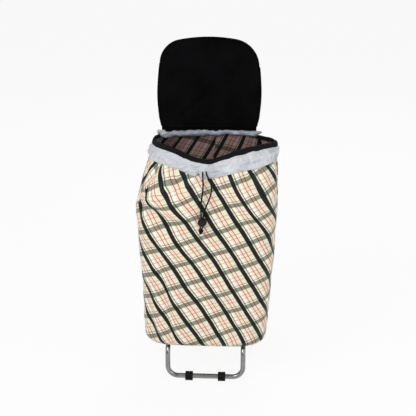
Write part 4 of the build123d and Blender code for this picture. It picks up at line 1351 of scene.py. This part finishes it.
def strip_up_inside(turn):
    """Closed strip on the bag's inner wall at an angle: a flat profile carried up the height."""
    height = np.linspace(SEAM_TAPE_LOW, RIM_LEVEL - SEAM_TAPE_TOP_DROP, SEAM_TAPE_ROWS)
    point, out = bag_outline(np.full_like(height, turn), height)
    side = np.stack([-out[:, 1], out[:, 0], 0 * out[:, 0]], axis=-1)
    a = ring_angles(SEAM_TAPE_SIDES)[None, :, None]
    across, depth = SEAM_TAPE_HALF * np.cos(a), SEAM_TAPE_DEPTH * np.sin(a)
    middle = point - out * (CLOTH_THICKNESS + SEAM_TAPE_OFFSET)
    rings = middle[:, None] + side[:, None] * across - out[:, None] * depth
    return drawn_to_points(rings), ends_repeated(height)


strips = [strip_up_inside(back_turn(place, RIM_LEVEL)) for place in SEAM_TAPE_PLACES]
strip_size = strips[0][0].shape[0] * SEAM_TAPE_SIDES
strip_quads = grid_corners(*strips[0][0].shape[:2], False)
seam_tapes = mesh_piece(
    "back_seam_tapes",
    np.concatenate([points.reshape(-1, 3) for points, _ in strips]),
    np.concatenate([strip_quads + i * strip_size for i in range(len(strips))]),
    [BINDING_TAPE],
    np.concatenate([length_map(height, SEAM_TAPE_SIDES) for _, height in strips]),
)
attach(seam_tapes, "frame")
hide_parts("seam_tapes")
print("seam tapes", len(strips))

# %% [markdown]
# Three loops of webbing hang the bag on the crossbars: each runs up the bag's back, round its bar and
# down over its own tail. The path's last half turn draws in by one thickness, so that the end lies on the
# tail and not in it.

# %% Webbing loops
STRAP_HALF = 0.0125
STRAP_THICKNESS = 0.0014
STRAP_OVERLAP = 0.030
STRAP_SIDES = 20
STRAP_BARS = {
    "hanger_strap_left": "upper_crossbar",
    "hanger_strap_right": "upper_crossbar",
    "lower_strap": "middle_crossbar",
}


def strap_path(node, bar):
    """Line of a strap: up from the foot of its solid, once round the bar and down over its tail."""
    low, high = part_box(node)
    bar_low, bar_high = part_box(bar)
    bar_y, bar_z = (bar_low.y + bar_high.y) / 2, (bar_low.z + bar_high.z) / 2
    radius = high.y - bar_y - STRAP_THICKNESS / 2
    tail = np.linspace(low.z, bar_z, 16, endpoint=False)
    a = np.linspace(np.pi, -np.pi, 56)
    over = np.linspace(bar_z, bar_z - STRAP_OVERLAP, 12)[1:]
    inner = bar_y - radius
    growth = smooth_steps(-a, 0.2 * np.pi, np.pi) * STRAP_THICKNESS
    round_bar = bar_y + (radius - growth) * np.cos(a)
    y = np.concatenate([0 * tail + inner, round_bar, 0 * over + inner + STRAP_THICKNESS])
    z = np.concatenate([tail, bar_z + radius * np.sin(a), over])
    return np.stack([0 * y + (low.x + high.x) / 2, y, z], axis=-1)


def strap_grid(path):
    """Flat profile with round edges, carried along a strap's line."""
    normal = np.cross(path_direction(path), RIGHTWARDS)
    b = ring_angles(STRAP_SIDES)[None, :, None]
    across = STRAP_HALF * soft_power(np.cos(b), 0.25)
    off = STRAP_THICKNESS / 2 * soft_power(np.sin(b), 0.5)
    return drawn_to_points(path[:, None] + across * RIGHTWARDS + off * normal[:, None])


for node, bar in STRAP_BARS.items():
    path = strap_path(node, bar)
    run = distance_along(path)
    strap_map = length_map(ends_repeated(run), STRAP_SIDES)
    strap = grid_piece(node + "_webbing", strap_grid(path), [WEBBING], strap_map)
    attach(strap, "frame")
    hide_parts(node)
    print(strap.name, "length", round(float(run[-1]), 3))


# %% [markdown]
# ## Hard finishes
#
# The frame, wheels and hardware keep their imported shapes. Satin grey tube, zinc-plated steel, moulded
# plastic, rubber, foam and card each get their grain from noise on the piece's own coordinates, so no
# piece needs a map, and two pieces of one kind aren't grained alike.

# %% Metal finish
def metal_finish(name, colour, roughness, grain, stretch):
    """Metal with a fine directional grain in its roughness and a little unevenness in its colour."""
    material, tree, shader = start_finish(name, Metallic=1.0)
    cloud = object_noise(tree, 60, 4)
    worn = tuple(0.82 * c for c in colour)
    paint(tree, shader, colour_ramp(tree, cloud, [(0.35, worn), (0.65, colour)]))
    fine = object_noise(tree, grain, 5, stretch)
    tree.links.new(calc(tree, "MULTIPLY_ADD", fine, 0.16, roughness - 0.08), shader.inputs["Roughness"])
    bump(tree, shader, fine, 0.0002, 0.25)
    return material


TUBE_METAL = metal_finish("frame_tube", (0.30, 0.30, 0.305), 0.23, 700, (1, 1, 0.05))
STEEL = metal_finish("steel_hardware", (0.60, 0.60, 0.58), 0.30, 900, (1, 1, 1))
print("metals", TUBE_METAL.name, STEEL.name)

# %% Moulded and card finishes
def moulded_finish(name, colour, roughness, grain, depth):
    """Moulded plastic, rubber or foam: a grained surface with faint lighter scuffs."""
    material, tree, shader = start_finish(name, Specular_IOR_Level=0.22)
    scuff = object_noise(tree, 30, 5)
    light = tuple(1.6 * c + 0.003 for c in colour)
    paint(tree, shader, colour_ramp(tree, scuff, [(0.4, colour), (0.8, light)]))
    tree.links.new(calc(tree, "MULTIPLY_ADD", scuff, 0.2, roughness - 0.1), shader.inputs["Roughness"])
    bump(tree, shader, object_noise(tree, grain, 3), depth, 0.6)
    return material


def card_finish():
    """Grey board with specks and a slightly fibrous surface."""
    material, tree, shader = start_finish("base_card", Roughness=0.9, Specular_IOR_Level=0.2)
    speck = object_noise(tree, 420, 3)
    stops = [(0.35, (0.22, 0.19, 0.15)), (0.6, (0.36, 0.32, 0.26))]
    paint(tree, shader, colour_ramp(tree, speck, stops))
    bump(tree, shader, speck, 0.0003, 0.5)
    return material


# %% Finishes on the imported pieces
NODE_FINISHES = {
    TUBE_METAL: ["main_frame_tube", "upper_crossbar", "middle_crossbar", "foot_tube", "brace_rod"],
    STEEL: [
        "side_plate_left", "side_plate_right", "axle", "axle_washers", "axle_push_nuts", "foot_bolts",
        "foot_washers", "foot_nuts", "strap_snaps", "cord_lock_spring",
    ],
    moulded_finish("black_plastic", (0.005, 0.005, 0.0055), 0.42, 900, 0.0002): [
        "upright_plugs", "foot_plugs", "hub_cap_left", "hub_cap_right", "cord_lock_body",
    ],
    moulded_finish("button_plastic", (0.011, 0.011, 0.012), 0.48, 900, 0.0002): ["cord_lock_button"],
    moulded_finish("foot_rubber", (0.0015, 0.0015, 0.0018), 0.70, 1200, 0.0003): [
        "foot_pad_left", "foot_pad_right",
    ],
    moulded_finish("tyre_rubber", (0.012, 0.012, 0.012), 0.80, 800, 0.0005): ["tyre_left", "tyre_right"],
    moulded_finish("wheel_plastic", (0.10, 0.10, 0.105), 0.45, 900, 0.0002): [
        "wheel_rim_left", "wheel_rim_right", "wheel_bush_left", "wheel_bush_right",
    ],
    moulded_finish("grip_foam", (0.016, 0.016, 0.017), 0.92, 520, 0.0012): ["handle_grip"],
    card_finish(): ["base_board"],
}
for finish, names in NODE_FINISHES.items():
    for name in names:
        nodes[name].data.materials.clear()
        nodes[name].data.materials.append(finish)
    print(finish.name, "on", len(names), "nodes")


# %% [markdown]
# ## Studio
#
# A pale floor and an even white surround, a large soft lamp from the upper left, a weaker one from the
# right and one from behind. The floor is white to the camera and in reflections, and the surround is white
# to the camera. Their light on the object is weaker, so pale cloth keeps its colour and the floor keeps a
# soft shadow.

# %% Studio floor
FLOOR_HALF = 20.0
FLOOR_GREY = (0.86, 0.86, 0.86, 1)
FLOOR_GLOW = 0.90


def studio_finish():
    """Pale floor that the camera sees nearly white, and that still takes a soft shadow."""
    material, tree, shader = start_finish("studio_floor", Base_Color=FLOOR_GREY, Roughness=0.9)
    rays = add_node(tree, "ShaderNodeLightPath").outputs
    seen = calc(tree, "MAXIMUM", rays["Is Camera Ray"], rays["Is Glossy Ray"])
    seen = calc(tree, "MAXIMUM", seen, rays["Is Transmission Ray"])
    glow = add_node(tree, "ShaderNodeEmission", (1, 1, 1, 1), 1.0)
    share = calc(tree, "MULTIPLY", seen, FLOOR_GLOW)
    mixed = add_node(tree, "ShaderNodeMixShader", share, shader.outputs[0], glow.outputs[0])
    tree.links.new(mixed.outputs[0], tree.nodes["Material Output"].inputs["Surface"])
    return material


floor_points = np.array([(-1, -1, 0), (1, -1, 0), (1, 1, 0), (-1, 1, 0)], float) * FLOOR_HALF
floor = mesh_piece("studio_floor", floor_points, np.array([[0, 1, 2, 3]]), [studio_finish()])
print("floor", 2 * FLOOR_HALF, "m wide")

# %% Lamps
# Each lamp: place, the point that it faces, size and power
LAMPS = {
    "key_lamp": ((-1.6, -2.4, 2.6), (0, 0, 0.5), 1.8, 62),
    "fill_lamp": ((2.2, -2.0, 1.5), (0, 0, 0.45), 2.2, 26),
    "rim_lamp": ((0.6, 2.4, 2.6), (0, 0, 0.5), 1.6, 30),
}


def soft_lamp(name, place, target, size, power):
    """Square area lamp at a place, facing a target."""
    data = bpy.data.lights.new(name, "AREA")
    data.size = size
    data.energy = power
    lamp = into_scene(name, data)
    lamp.location = place
    x, y, z = np.array(target, float) - np.array(place, float)
    lamp.rotation_euler = (math.acos(-z / math.hypot(x, y, z)), 0, math.atan2(y, x) - math.pi / 2)


for name, settings in LAMPS.items():
    soft_lamp(name, *settings)
print("lamps", *LAMPS)

# %% Surround
SURROUND_LIGHT = 0.45

world = bpy.data.worlds.new("surround")
world.use_nodes = True
bpy.context.scene.world = world
rays = add_node(world.node_tree, "ShaderNodeLightPath").outputs
seen = calc(world.node_tree, "MAXIMUM", rays["Is Camera Ray"], rays["Is Transmission Ray"])
strength = calc(world.node_tree, "MULTIPLY_ADD", seen, 1 - SURROUND_LIGHT, SURROUND_LIGHT)
background = world.node_tree.nodes["Background"]
background.inputs[0].default_value = (1, 1, 1, 1)
world.node_tree.links.new(strength, background.inputs[1])
bpy.context.scene.view_settings.view_transform = "Standard"
print("surround lights at", SURROUND_LIGHT)
